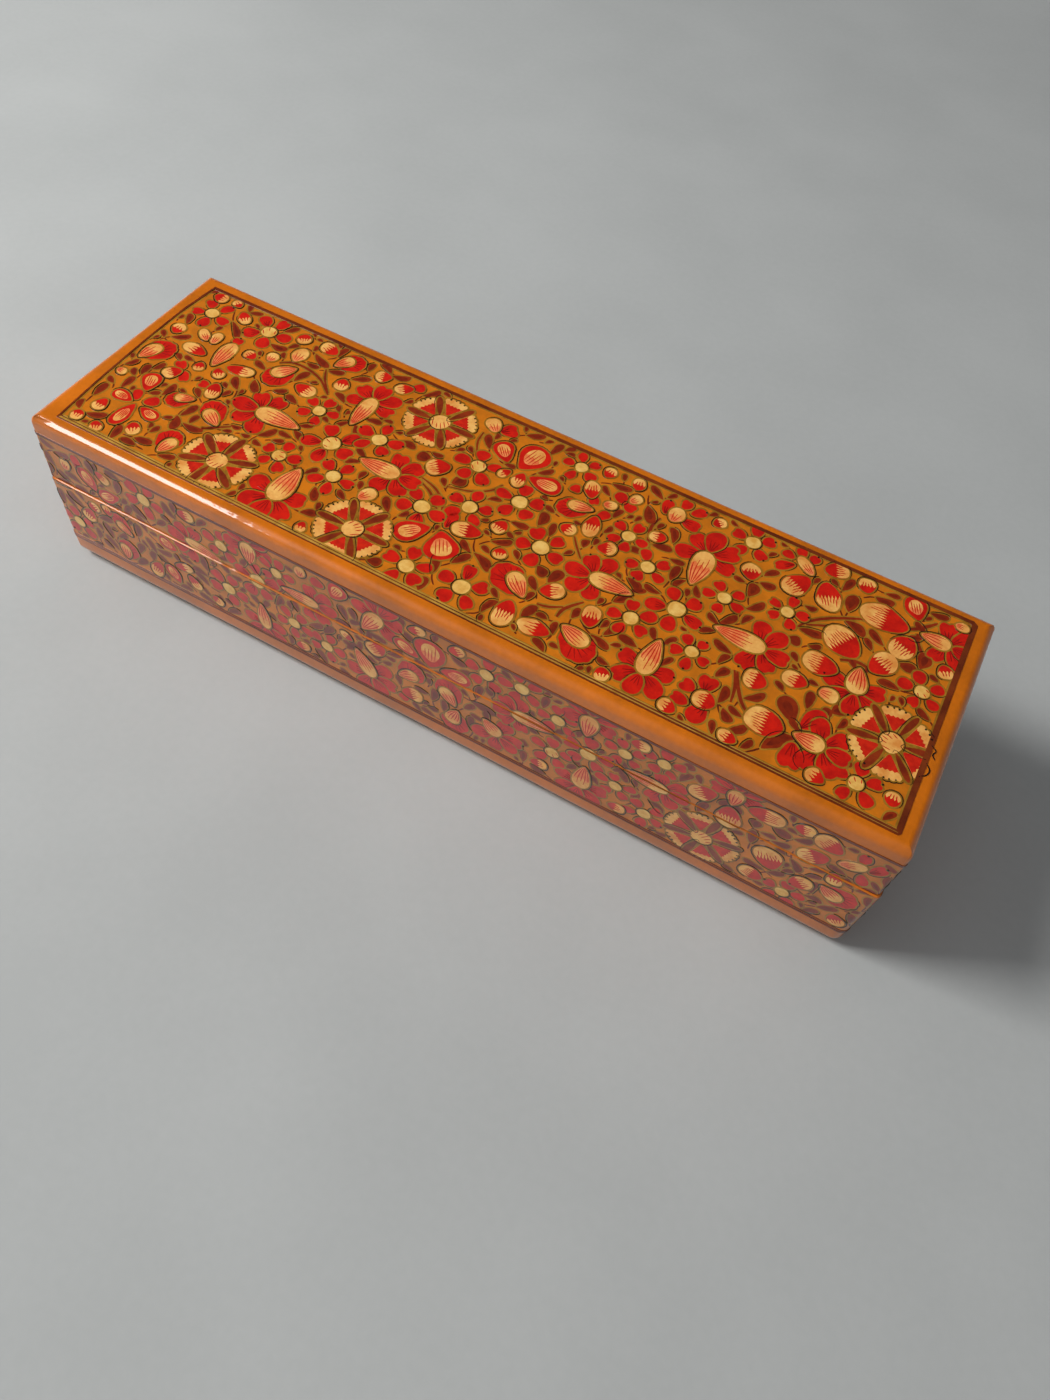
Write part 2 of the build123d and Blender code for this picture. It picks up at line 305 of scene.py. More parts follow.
FRONT_BUDS = (
    ("oval", -95.0, 32.4, 3.4, 2.6, 70), ("petal", -91.0, 34.6, 5.4, 2.6, 95), ("core", -88.8, 31.2, 6.4, 4.2, 120),
    ("cap", -84.0, 34.2, 3.8, 2.8, -40), ("core", -83.6, 28.7, 6.6, 3.8, 205), ("cap", -61.0, 35.8, 4.2, 3.2, 10),
    ("cap", -92.2, 18.6, 4.6, 3.6, 240), ("cap", -85.4, 23.6, 3.0, 2.6, 90), ("cap", -89.6, 22.4, 3.2, 2.8, 30),
    ("fan", -81.6, 21.0, 6.8, 5.2, 130), ("fan", -82.8, 11.8, 7.4, 6.0, 70), ("cap", -74.4, 10.8, 6.2, 3.4, 240),
    ("core", -69.2, 12.2, 5.6, 3.8, 115), ("cap", -63.0, 12.8, 4.2, 3.2, -60), ("core", -68.4, 22.8, 5.0, 3.8, 160),
    ("petal", -63.4, 23.6, 3.8, 2.8, 60), ("cap", -65.2, 16.8, 5.2, 2.6, 20), ("cap", -57.0, 10.4, 3.2, 2.8, -30),
    ("oval", -31.4, 36.4, 3.2, 2.7, 80), ("petal", -27.2, 35.5, 3.4, 2.8, 170), ("core", -22.4, 35.6, 5.4, 4.4, 60),
    ("cap", -33.0, 9.9, 3.8, 2.9, 20), ("cap", -20.3, 22.6, 3.2, 2.2, 150), ("cap", -12.6, 23.4, 5.4, 4.2, 215),
    ("cap", -2.6, 36.5, 4.2, 2.6, 20), ("core", -5.0, 29.0, 6.2, 3.8, 155), ("fan", -4.4, 20.8, 8.2, 7.0, 45),
    ("cap", -3.4, 13.2, 5.2, 4.6, 20), ("petal", -5.6, 10.4, 3.2, 2.6, 230), ("core", 0.7, 30.9, 8.6, 7.4, 90),
    ("cap", 6.8, 36.3, 4.0, 2.9, 30), ("core", 7.0, 27.6, 7.2, 4.6, 10), ("fan", 6.0, 20.6, 9.0, 7.2, 110),
    ("fan", 7.8, 11.8, 8.6, 7.4, 265), ("cap", 28.8, 11.6, 4.0, 3.2, 10), ("cap", 48.3, 36.0, 4.0, 3.3, 10),
    ("cap", 48.0, 10.1, 4.2, 3.2, 0), ("cap", 62.9, 31.0, 6.4, 4.5, 215), ("cap", 75.6, 33.6, 7.6, 4.6, 8),
    ("cap", 83.0, 35.3, 4.0, 3.6, 20), ("cap", 88.1, 34.6, 5.8, 5.2, 160), ("petal", 94.9, 35.2, 3.6, 2.4, 90),
    ("oval", 93.8, 31.4, 5.4, 3.0, 30), ("petal", 98.2, 33.6, 4.6, 2.6, 60), ("petal", 96.9, 28.2, 4.0, 2.4, -70),
    ("cap", 86.9, 28.2, 6.4, 4.8, 215), ("cap", 69.4, 27.2, 6.6, 5.4, 280), ("cap", 92.8, 24.4, 3.8, 3.3, -80),
    ("cap", 80.2, 20.2, 7.2, 6.2, 118), ("cap", 88.2, 17.2, 5.4, 4.3, 50), ("cap", 79.2, 11.7, 5.4, 4.2, 175),
    ("fan", 95.2, 19.4, 8.4, 7.4, -15), ("cap", 98.6, 10.4, 4.2, 3.6, -50), ("petal", 34.0, 36.0, 3.4, 2.6, 150),
)
FRONT_LEAVES = (
    (-18.2, 36.8, 4.4, 1.6, 5), (-18.5, 31.0, 1.8, 3.2, 20), (-6.4, 36.6, 2.0, 3.0, 0), (-5.2, 33.2, 3.8, 1.7, -28),
    (-12.4, 27.2, 4.4, 1.8, -5), (7.2, 33.4, 4.0, 1.7, -22), (9.2, 30.8, 3.2, 1.6, 20), (15.0, 28.2, 1.8, 2.8, 20),
    (14.0, 21.6, 6.2, 2.2, -5), (12.0, 13.6, 1.8, 5.4, 8), (24.2, 16.4, 2.4, 2.2, 40), (46.8, 23.2, 4.6, 1.7, -52),
    (55.6, 18.2, 4.6, 1.9, -38), (51.2, 17.4, 1.9, 4.2, -5), (58.4, 36.6, 3.0, 2.2, 30), (79.6, 30.8, 4.0, 2.6, -20),
    (85.2, 22.2, 4.4, 1.9, -50), (91.0, 18.0, 2.0, 4.8, 5), (74.6, 29.4, 2.4, 2.6, 0), (80.6, 27.0, 4.0, 1.7, 20),
    (-19.2, 19.6, 2.0, 4.4, -40), (-13.8, 20.6, 4.6, 1.7, -25), (36.0, 16.6, 1.7, 3.2, -35), (41.8, 16.4, 1.7, 3.2, 35),
)


def uneven(u, v):
    """How far the hand-laid skin dips at a place, from 0 to 1, in slow waves."""
    wave = math.sin(u / 17.0 + 1.3) * math.cos(v / 13.0 + u / 41.0) + math.sin(u / 9.1 - v / 11.0 + 0.6)
    return 0.5 + 0.25 * wave


def step_in(s, z):
    """How far the lid, or the base below it, stands in from the other's edge, s round the box."""
    stops = LID_STEPS if z > PARTING else BASE_STEPS
    first, inset = stops[0]
    s = first + (s - first) % GIRTH
    for (near, before), (far, after) in zip(stops, stops[1:]):
        if s <= far:
            return before + (after - before) * (s - near) / (far - near)
    return inset


def plan(s, inset, radius):
    """Point of the box's outline, s round from the middle of the front, drawn in by inset."""
    start = -HALF_LENGTH
    for half, across, turn in (
        (HALF_LENGTH, HALF_DEPTH, 0),
        (HALF_DEPTH, HALF_LENGTH, 90),
        (HALF_LENGTH, HALF_DEPTH, 180),
        (HALF_DEPTH, HALF_LENGTH, 270),
    ):
        along = s - start - half
        if along <= half or turn == 270:
            break
        start += 2 * half
    flat = half - CORNER_RADIUS
    tight = max(radius - inset, 0.0)
    reach = half - inset - tight
    depth = across - inset
    if abs(along) <= flat:
        x, y = along * reach / flat, -depth
    else:
        share = (abs(along) - flat) / (2 * CORNER_RADIUS)
        bend = math.radians(90 * share)
        x = math.copysign(reach + tight * math.sin(bend), along)
        y = -(depth - tight + tight * math.cos(bend))
    angle = math.radians(turn)
    return (x * math.cos(angle) - y * math.sin(angle), x * math.sin(angle) + y * math.cos(angle))


def corner_radius(z):
    """The upright corners are tight at the top and softer towards the foot."""
    return CORNER_RADIUS + (FOOT_CORNER_RADIUS - CORNER_RADIUS) * max(0.0, 1 - z / PARTING)


def on_side(s, z, lift):
    """Place on the side of the box, in millimetres, lift above the skin."""
    inset = SKIN_DEPTH + UNEVEN * uneven(s, z) + step_in(s, z) - lift
    x, y = plan(s, inset, corner_radius(z))
    return (x, y, z)


def on_top(x, y, lift):
    """Place on the top of the lid, in millimetres, lift above the skin."""
    return (x, y, TOP - SKIN_DEPTH - UNEVEN * uneven(x, y) + lift)


# ---------------------------------------------------------------- materials


def linear(colour):
    """A colour as a screen shows it, 0 to 255, as the shader takes it."""
    values = [channel / 255 for channel in colour]
    return tuple(v / 12.92 if v <= 0.04045 else ((v + 0.055) / 1.055) ** 2.4 for v in values) + (1.0,)


def material(name, light, dark, patch=6.0, grain=0.6, roughness=0.42, coat=1.0, bump=0.12, metal=0.0):
    """Paint or paper: two tones in soft patches of that size in millimetres, with a fine grain."""
    mat = bpy.data.materials.new(name)
    mat.use_nodes = True
    nodes, links = mat.node_tree.nodes, mat.node_tree.links
    shader = nodes["Principled BSDF"]
    place = nodes.new("ShaderNodeTexCoord")
    patches = nodes.new("ShaderNodeTexNoise")
    patches.inputs["Scale"].default_value = 1 / (patch * MM)
    patches.inputs["Detail"].default_value = 4.0
    fine = nodes.new("ShaderNodeTexNoise")
    fine.inputs["Scale"].default_value = 1 / (grain * MM)
    fine.inputs["Detail"].default_value = 3.0
    blend = nodes.new("ShaderNodeMath")
    blend.operation = "MULTIPLY_ADD"
    blend.inputs[1].default_value = 0.3
    ramp = nodes.new("ShaderNodeValToRGB")
    ramp.color_ramp.elements[0].position = 0.48
    ramp.color_ramp.elements[0].color = linear(dark)
    ramp.color_ramp.elements[1].position = 0.82
    ramp.color_ramp.elements[1].color = linear(light)
    relief = nodes.new("ShaderNodeBump")
    relief.inputs["Strength"].default_value = bump
    relief.inputs["Distance"].default_value = 0.05 * MM
    for noise in (patches, fine):
        links.new(place.outputs["Object"], noise.inputs["Vector"])
    links.new(fine.outputs["Fac"], blend.inputs[0])
    links.new(patches.outputs["Fac"], blend.inputs[2])
    links.new(blend.outputs["Value"], ramp.inputs["Fac"])
    links.new(ramp.outputs["Color"], shader.inputs["Base Color"])
    links.new(fine.outputs["Fac"], relief.inputs["Height"])
    links.new(relief.outputs["Normal"], shader.inputs["Normal"])
    shader.inputs["Roughness"].default_value = roughness
    shader.inputs["Metallic"].default_value = metal
    shader.inputs["Specular IOR Level"].default_value = 0.25
    shader.inputs["Coat Weight"].default_value = coat
    shader.inputs["Coat Roughness"].default_value = 0.06
    shader.inputs["Coat IOR"].default_value = 1.6
    if coat:
        dents = nodes.new("ShaderNodeTexNoise")
        dents.inputs["Scale"].default_value = 1 / (DENT_SIZE * MM)
        dents.inputs["Detail"].default_value = 1.5
        dented = nodes.new("ShaderNodeBump")
        dented.inputs["Strength"].default_value = 1.0
        dented.inputs["Distance"].default_value = DENT_DEPTH * MM
        links.new(place.outputs["Object"], dents.inputs["Vector"])
        links.new(dents.outputs["Fac"], dented.inputs["Height"])
        links.new(dented.outputs["Normal"], shader.inputs["Coat Normal"])
    return mat


PAINTS = {
    "stem": ((122, 42, 8), (92, 26, 4), 5.0),
    "halo": ((174, 126, 34), (138, 92, 16), 3.0),
    "leaf": ((150, 46, 4), (120, 29, 2), 3.0),
    "leaf heart": ((130, 36, 4), (106, 24, 2), 2.0),
    "bar": ((148, 50, 8), (114, 32, 4), 3.0),
    "petal halo": ((168, 120, 32), (134, 88, 16), 3.0),
    "red": ((216, 26, 4), (184, 14, 2), 2.6),
    "deep red": ((158, 10, 2), (124, 6, 2), 2.0),
    "ring": ((170, 122, 32), (130, 86, 14), 2.0),
    "cream": ((246, 189, 103), (224, 143, 64), 3.0),
    "yolk": ((242, 196, 108), (222, 160, 68), 2.0),
    "blush": ((242, 152, 88), (226, 108, 56), 2.0),
    "stroke": ((214, 38, 10), (186, 22, 4), 1.5),
    "contour": ((30, 16, 6), (14, 8, 4), 2.0),
    "petal contour": ((34, 18, 6), (18, 8, 4), 2.0),
    "maroon line": ((126, 52, 10), (94, 32, 4), 6.0),
    "gold line": ((210, 162, 68), (174, 126, 40), 4.0),
}


def paint_material(coat):
    """The lacquered paint of one coat, made once."""
    name = f"{coat} paint"
    if name in bpy.data.materials:
        return bpy.data.materials[name]
    light, dark, patch = PAINTS[coat]
    return material(name, light, dark, patch, metal=0.15 if coat == "gold line" else 0.0)


# ---------------------------------------------------------------- shapes drawn flat, in millimetres


def egg_half(t, sharp, full):
    """Half the breadth of an egg at a share of its length: sharp shapes the root, full the round end."""
    return t**sharp * math.sqrt(max(0.0, 1 - t**full))


def egg(length, width, sharp=0.5, full=1.0, notch=0.0, count=11):
    """Outline of an egg, petal or teardrop along +x, its middle at the origin: sharp shapes the root."""
    across = [(1 - math.cos(math.pi * i / count)) / 2 for i in range(count + 1)]
    halves = [egg_half(t, sharp, full) for t in across]
    peak = max(halves)
    upper = []
    for t, half in zip(across, halves):
        y = width / 2 * half / peak
        x = length * (t - 0.5)
        x -= notch * length * math.exp(-((y / (0.2 * width)) ** 2)) * max(0.0, t - 0.7) / 0.3
        upper.append((x, y))
    lower = [(x, -y) for x, y in reversed(upper[1:-1])]
    return list(reversed(upper + lower))


def teeth_across(x, half, way, teeth, depth):
    """A jagged line across the cut end of a shape: way is 1 where the shape ends and -1 where it starts."""
    if half < 0.05:
        return []
    swings = [depth if i % 2 else -0.35 * depth for i in range(2 * teeth)]
    return [(x + way * swings[i], way * half * (1 - i / teeth)) for i in range(1, 2 * teeth)]


def egg_part(length, width, sharp, full, start, end, teeth, depth):
    """An egg from one share of its length to another, with teeth across its cut end."""
    peak = max(egg_half(i / 20, sharp, full) for i in range(21))
    upper = []
    for i in range(10):
        t = start + (end - start) * (1 - math.cos(math.pi * i / 9)) / 2
        upper.append((length * (t - 0.5), width / 2 * egg_half(t, sharp, full) / peak))
    lower = [(x, -y) for x, y in reversed(upper)]
    far, near = teeth_across(*upper[-1], 1, teeth, depth), teeth_across(*upper[0], -1, teeth, depth)
    return upper + far + lower + near


def disc(radius, count=22):
    """A round outline."""
    return [
        (radius * math.cos(2 * math.pi * i / count), radius * math.sin(2 * math.pi * i / count))
        for i in range(count)
    ]


def placed(points, x, y, turn):
    """The points turned by degrees and moved to x, y."""
    cos, sin = math.cos(math.radians(turn)), math.sin(math.radians(turn))
    return [(x + px * cos - py * sin, y + px * sin + py * cos) for px, py in points]


def grown(points, distance):
    """A closed outline pushed out all round."""
    result = []
    count = len(points)
    for i, (x, y) in enumerate(points):
        ax, ay = points[i - 1]
        bx, by = points[(i + 1) % count]
        dx, dy = bx - ax, by - ay
        size = math.hypot(dx, dy) or 1.0
        result.append((x + distance * dy / size, y - distance * dx / size))
    return result


def ribbon(line, width, taper=0.25):
    """Outline of a brush line along the points, thinner at its ends."""
    left, right = [], []
    last = len(line) - 1
    for i, (x, y) in enumerate(line):
        ax, ay = line[max(0, i - 1)]
        bx, by = line[min(last, i + 1)]
        dx, dy = bx - ax, by - ay
        size = math.hypot(dx, dy) or 1.0
        swell = taper + (1 - taper) * math.sin(math.pi * (0.08 + 0.84 * i / last))
        half = width / 2 * swell
        left.append((x - half * dy / size, y + half * dx / size))
        right.append((x + half * dy / size, y - half * dx / size))
    return right + list(reversed(left))


def smooth_line(points, steps=5):
    """A soft curve through the points."""
    ends = [points[0], *points, points[-1]]
    line = []
    for a, b, c, d in zip(ends, ends[1:], ends[2:], ends[3:]):
        for i in range(steps):
            t = i / steps
            line.append(
                tuple(
                    0.5
                    * (
                        2 * q
                        + (r - p) * t
                        + (2 * p - 5 * q + 4 * r - s) * t**2
                        + (3 * q - p - 3 * r + s) * t**3
                    )
                    for p, q, r, s in zip(a, b, c, d)
                )
            )
    line.append(points[-1])
    return line


class Painting:
    """Everything painted on one stretch of the box, sorted by coat."""

    def __init__(self, name, seed, low, high):
        self.name = name
        self.chance = random.Random(seed)
        self.low, self.high = low, high
        self.shapes = {coat: [] for coat in COATS}
        wide = int((high[0] - low[0]) / CELL) + 1
        tall = int((high[1] - low[1]) / CELL) + 1
        self.taken = np.zeros((tall, wide), dtype=bool)
        self.count = 0

    def cells(self, points):
        """Index ranges and a mask of the cells that an outline covers."""
        xs = [(p[0] - self.low[0]) / CELL for p in points]
        ys = [(p[1] - self.low[1]) / CELL for p in points]
        x0, x1 = max(0, int(min(xs))), min(self.taken.shape[1], int(max(xs)) + 2)
        y0, y1 = max(0, int(min(ys))), min(self.taken.shape[0], int(max(ys)) + 2)
        if x0 >= x1 or y0 >= y1:
            return None
        grid_x, grid_y = np.meshgrid(np.arange(x0, x1), np.arange(y0, y1))
        inside = np.zeros(grid_x.shape, dtype=bool)
        for i in range(len(points)):
            ax, ay, bx, by = xs[i - 1], ys[i - 1], xs[i], ys[i]
            if ay != by:
                crosses = (ay > grid_y) != (by > grid_y)
                inside ^= crosses & (grid_x < (bx - ax) * (grid_y - ay) / (by - ay) + ax)
        return slice(y0, y1), slice(x0, x1), inside

    def bare(self, x, y):
        """Whether nothing is painted at a place."""
        return not self.taken[int((y - self.low[1]) / CELL), int((x - self.low[0]) / CELL)]

    def free(self, points, share=0.0):
        """Whether an outline lies on bare ground, but for a share of it, and inside the stretch."""
        xs, ys = [p[0] for p in points], [p[1] for p in points]
        if min(xs) < self.low[0] or max(xs) > self.high[0] or min(ys) < self.low[1] or max(ys) > self.high[1]:
            return False
        found = self.cells(points)
        rows, columns, inside = found
        total = int(inside.sum())
        return total > 0 and int((self.taken[rows, columns] & inside).sum()) <= share * total

    def add(self, coat, points, tier=0):
        """Adds one outline to a coat, and marks its place as taken: a petal lies on those of a lower tier."""
        area = sum(points[i - 1][0] * points[i][1] - points[i][0] * points[i - 1][1] for i in range(len(points)))
        if abs(area) < 0.004:
            return
        if area < 0:
            points = list(reversed(points))
        self.count += 1
        lift = COATS[coat] + PETAL_STEP * tier
        if not (tier or coat in PETAL_COATS):
            lift += COAT_SPREAD * (self.count % 5) / 5
        self.shapes[coat].append((points, lift))
        found = self.cells(points)
        if found:
            rows, columns, inside = found
            self.taken[rows, columns] |= inside

    def loose(self, points, amount=0.035):
        """The outline as a hand would draw it, slightly off."""
        xs, ys = [p[0] for p in points], [p[1] for p in points]
        mid_x, mid_y = sum(xs) / len(xs), sum(ys) / len(ys)
        phases = [self.chance.uniform(0, 2 * math.pi) for _ in range(3)]
        sizes = [amount * self.chance.uniform(0.3, 1.0) for _ in range(3)]
        result = []
        for x, y in points:
            angle = math.atan2(y - mid_y, x - mid_x)
            swell = 1 + sum(size * math.sin((i + 2) * angle + ph) for i, (size, ph) in enumerate(zip(sizes, phases)))
            result.append((mid_x + (x - mid_x) * swell, mid_y + (y - mid_y) * swell))
        return result

    def outline(self, points, distance, start, share, width=0.19, coat="contour", tier=0):
        """A thin black contour along part of an outline: start and share go round it from 0 to 1."""
        ring = grown(points, distance)
        count = len(ring)
        steps = max(3, int(share * count))
        line = [ring[int(start * count + i) % count] for i in range(steps + 1)]
        self.add(coat, ribbon(line, width), tier)

    def petal(self, x, y, length, width, turn, tier=0):
        """One red petal with its gold outline, part of a black contour and dark veins at its root."""
        notch = self.chance.choice((0.0, 0.0, 0.1, 0.16))
        shape = placed(self.loose(egg(length, width, 0.55, 2.2, notch)), x, y, turn)
        self.add("petal halo", grown(shape, 0.4), tier)
        self.add("red", shape, tier)
        if length > 4.0:
            for i in (-1, 0, 1):
                line = [(-0.46 * length, 0.04 * width * i), (0.0, 0.22 * width * i)]
                self.add("deep red", placed(ribbon(smooth_line(line, 3), 0.22, 0.2), x, y, turn))
        start = self.chance.uniform(0.72, 1.0)
        self.outline(shape, 0.42, start, self.chance.uniform(0.3, 0.6), 0.21, "petal contour", tier)
        if self.chance.random() < 0.25:
            self.add("contour", placed(disc(0.24, 8), *placed([(length * 0.46, 0.0)], x, y, turn)[0], 0))

    def eye(self, x, y, radius, strokes=0, coat="yolk"):
        """The pale heart of a flower in its olive ring, with red strokes from one side."""
        self.add("ring", placed(self.loose(disc(radius + 0.42)), x, y, 0))
        self.add(coat, placed(self.loose(disc(radius)), x, y, 0))
        turn = self.chance.uniform(0, 360)
        line = placed(disc(radius + 0.3), x, y, turn)
        self.add("contour", ribbon(line[: int(len(line) * self.chance.uniform(0.45, 0.8))], 0.22))
        for i in range(strokes):
            side = 2 * i / (strokes - 1) - 1
            root = -0.96 * radius * math.cos(1.1 * side)
            reach = radius * self.chance.uniform(0.5, 0.95)
            line = [(root, 0.85 * radius * side), (root + reach, 0.7 * radius * side)]
            self.add("stroke", placed(ribbon(smooth_line(line, 3), 0.24, 0.2), x, y, turn))

    def flower(self, x, y, size, turn, petals=5):
        """A small flower: a cream heart and petals round it."""
        radius = 1.5 * size
        for i in range(petals):
            angle = turn + 360 * i / petals + self.chance.uniform(-7, 7)
            length = 3.1 * size * self.chance.uniform(0.9, 1.14)
            width = 2.7 * size * self.chance.uniform(0.86, 1.1)
            far = radius + 0.35 + length / 2
            self.petal(
                x + far * math.cos(math.radians(angle)),
                y + far * math.sin(math.radians(angle)),
                length,
                width,
                angle,
                i % 3,
            )
        self.eye(x, y, radius, self.chance.choice((0, 0, 0, 3)))

    def long_bud(self, x, y, length, width, turn):
        """A cream bud with fine red lines from its tip; turn is where its round end points."""
        sharp, full = 0.72, 2.2
        both = egg(length, width, sharp, full) + egg_part(length, width * 0.96, sharp, full, 0.0, 0.55, 3, 0.9)
        both = placed(self.loose(both, 0.02), x, y, turn)
        shape, blush = both[:22], both[22:]
        self.add("ring", grown(shape, 0.4))
        self.add("cream", shape)
        self.add("blush", blush)
        self.outline(shape, 0.42, 0.5 + self.chance.uniform(0.0, 0.1), self.chance.uniform(0.5, 0.85), 0.23)
        peak = max(egg_half(i / 20, sharp, full) for i in range(21))
        lines = 5 if width > 3.6 else 4
        for i in range(lines):
            side = 0.78 * (2 * i / (lines - 1) - 1)
            reach = self.chance.uniform(0.6, 0.86) - 0.16 * abs(side)
            line = []
            for step in range(7):
                t = 0.05 + 0.05 * abs(side) + reach * step / 6
                line.append((length * (t - 0.5), side * width / 2 * egg_half(t, sharp, full) / peak))
            self.add("stroke", placed(ribbon(line, 0.25, 0.3), x, y, turn))

    def cap_bud(self, x, y, length, width, turn):
        """A bud with a cream round end, and a red root with strokes running into the cream."""
        sharp, full = 0.56, 2.0
        teeth = max(3, round(width / 0.75))
        start = self.chance.uniform(0.52, 0.62)
        flame = 0.13 * length
        cream = egg_part(length, width * 0.97, sharp, full, start, 1.0, teeth, flame)
        both = placed(self.loose(egg(length, width, sharp, full) + cream), x, y, turn)
        body, cream = both[:22], both[22:]
        self.add("petal halo", grown(body, 0.4), 4)
        self.add("red", body, 4)
        self.add("cream", cream)
        half = width / 2 * 0.8
        for i in range(teeth - 1):
            side = half * (2 * (i + 1) / teeth - 1)
            reach = length * self.chance.uniform(0.1, 0.28)
            root = length * (start - 0.5)
            line = [(root - 0.1, side), (root + reach, side * 0.92)]
            self.add("stroke", placed(ribbon(smooth_line(line, 3), 0.24, 0.1), x, y, turn))
        self.outline(body, 0.4, self.chance.uniform(0, 1), self.chance.uniform(0.4, 0.75), 0.22)

    def core_bud(self, x, y, length, width, turn):
        """A red drop with a striped cream oval inside it."""
        body = placed(self.loose(egg(length, width, 0.7, 2.2)), x, y, turn)
        self.add("petal halo", grown(body, 0.4), 4)
        self.add("red", body, 4)
        inner, across = length * 0.64, width * 0.62
        mid_x, mid_y = placed([(length * 0.06, 0.0)], x, y, turn)[0]
        both = egg(inner, across, 0.55, 1.4) + egg_part(inner, across, 0.55, 1.4, 0.0, 0.4, 3, 0.5)
        both = placed(self.loose(both), mid_x, mid_y, turn)
        self.add("cream", both[:22])
        self.add("blush", both[22:])
        for side in (-0.62, -0.2, 0.22, 0.64):
            root = -0.46 * inner * (1 - 0.3 * abs(side))
            reach = inner * self.chance.uniform(0.55, 0.85)
            line = [(root, 0.4 * across * side), (root + reach, 0.44 * across * side)]
            self.add("stroke", placed(ribbon(smooth_line(line, 3), 0.24, 0.2), mid_x, mid_y, turn))
        self.outline(body, 0.4, self.chance.uniform(0, 1), self.chance.uniform(0.4, 0.75), 0.22)

    def fan_bud(self, x, y, length, width, turn):
        """A broad red petal with a notched edge, over which lies a striped cream bud."""
        lobes = 5
        edge = []
        for i in range(33):
            share = i / 32
            angle = math.radians(-78 + 156 * share)
            wave = 1 + 0.05 * abs(math.sin(lobes * math.pi * share)) - 0.03
            edge.append((length * 0.52 * math.cos(angle) * wave, width * 0.5 * math.sin(angle) * wave))
        root = [(-length * 0.22, width * 0.3), (-length * 0.4, 0.0), (-length * 0.22, -width * 0.3)]
        body = placed(edge + root, x, y, turn)
        self.add("petal halo", grown(body, 0.38), 3)
        self.add("red", body, 3)
        for angle in range(-50, 51, 20):
            line = placed([(length * 0.1, 0.0), (length * 0.4, 0.0)], 0, 0, angle)
            self.add("deep red", placed(ribbon(smooth_line(line, 3), 0.2, 0.2), x, y, turn))
        self.outline(body, 0.42, self.chance.uniform(0.0, 0.2), 0.6)
        side = self.chance.choice((-1, 1))
        bud_x, bud_y = placed([(-length * 0.12, side * width * 0.1)], x, y, turn)[0]
        self.long_bud(bud_x, bud_y, length * 0.66, width * 0.5, turn + side * 14)

    def oval_bud(self, x, y, length, width, turn):
        """A plain cream bud with a few strokes."""
        both = egg(length, width, 0.55, 1.5) + egg_part(length, width * 0.96, 0.55, 1.5, 0.0, 0.36, 2, 0.4)
        both = placed(self.loose(both), x, y, turn)
        self.add("ring", grown(both[:22], 0.38))
        self.add("cream", both[:22])
        self.add("blush", both[22:])
        for i in (-1, 0, 1):
            line = [(-0.42 * length, 0.1 * width * i), (0.1 * length, 0.24 * width * i)]
            self.add("stroke", placed(ribbon(smooth_line(line, 3), 0.2, 0.3), x, y, turn))
        self.outline(both[:22], 0.38, self.chance.uniform(0, 1), self.chance.uniform(0.4, 0.7), 0.2)

    def spray(self, x, y, tip, length, width):
        """A large flower: petals round the back of a long striped bud, and leaves beside its tip."""
        reach = 3.0 + 0.4 * width
        for angle, tier in ((72, 0), (288, 1), (128, 2), (232, 3), (180, 4)):
            turn = tip + angle + self.chance.uniform(-5, 5)
            size = reach * self.chance.uniform(0.92, 1.08)
            far = 0.62 * size + 0.25 * width
            cos, sin = math.cos(math.radians(turn)), math.sin(math.radians(turn))
            self.petal(x + far * cos, y + far * sin, size * 1.2, size * 0.84, turn, tier)
        cos, sin = math.cos(math.radians(tip)), math.sin(math.radians(tip))
        for side in (-1, 1):
            along, off = length * 0.98, side * width * 0.42
            self.leaf(x + along * cos - off * sin, y + along * sin + off * cos, 3.4, 1.5, tip + side * 32)
        middle = 0.4 * length
        self.long_bud(x + middle * cos, y + middle * sin, length, width, tip + 180)

    def wheel(self, x, y, radius, turn):
        """A wheel flower: a heart, six fans with red wedges and scalloped cream rims, and bars between them."""
        heart = 0.27 * radius
        inner = heart + 0.7

        def half(far):
            """Half the breadth of a fan, which leaves room for the bars."""
            return far * math.tan(math.radians(30)) - 1.42

        reach = math.atan2(half(0.93 * radius), 0.93 * radius)
        for i in range(6):
            middle = turn + 60 * i
            rim, notches = [], []
            for step in range(25):
                share = step / 12 - 1
                scallop = abs(math.sin(2.5 * math.pi * (share + 1)))
                far = radius * (0.955 + 0.04 * scallop - 0.03 * abs(share) ** 6)
                rim.append((far * math.cos(reach * share), far * math.sin(reach * share)))
                if scallop < 0.3 and abs(share) < 0.95:
                    notches.append(rim[-1])
            root = [(inner, half(inner)), (inner - 0.2, 0.0), (inner, -half(inner))]
            fan = placed(rim + root, x, y, middle)
            self.add("ring", grown(fan, 0.42))
            self.add("cream", fan)
            depth = radius * self.chance.uniform(0.7, 0.8)
            teeth = teeth_across(depth, half(depth), -1, 5, 0.26)
            wedge = [(depth, -half(depth)), *teeth, (depth, half(depth)), *root]
            self.add("stroke", placed(wedge, x, y, middle))
            self.outline(fan, 0.42, self.chance.uniform(0, 0.4), self.chance.uniform(0.3, 0.6), 0.2)
            for spot_x, spot_y in placed(notches, x, y, middle):
                self.add("contour", placed(disc(self.chance.uniform(0.1, 0.26), 8), spot_x, spot_y, 0))
            bar = egg(radius * 0.78, self.chance.uniform(1.4, 1.7), 0.75, 1.5)
            bar = placed(bar, radius * 0.64, self.chance.uniform(-0.2, 0.2), 0)
            bar = placed(self.loose(bar), x, y, middle + 30)
            self.add("ring", grown(bar, 0.46))
            self.add("bar", bar)
            self.outline(bar, 0.5, self.chance.uniform(0, 1), self.chance.uniform(0.3, 0.6), 0.18)
        self.eye(x, y, heart, 5, "cream")

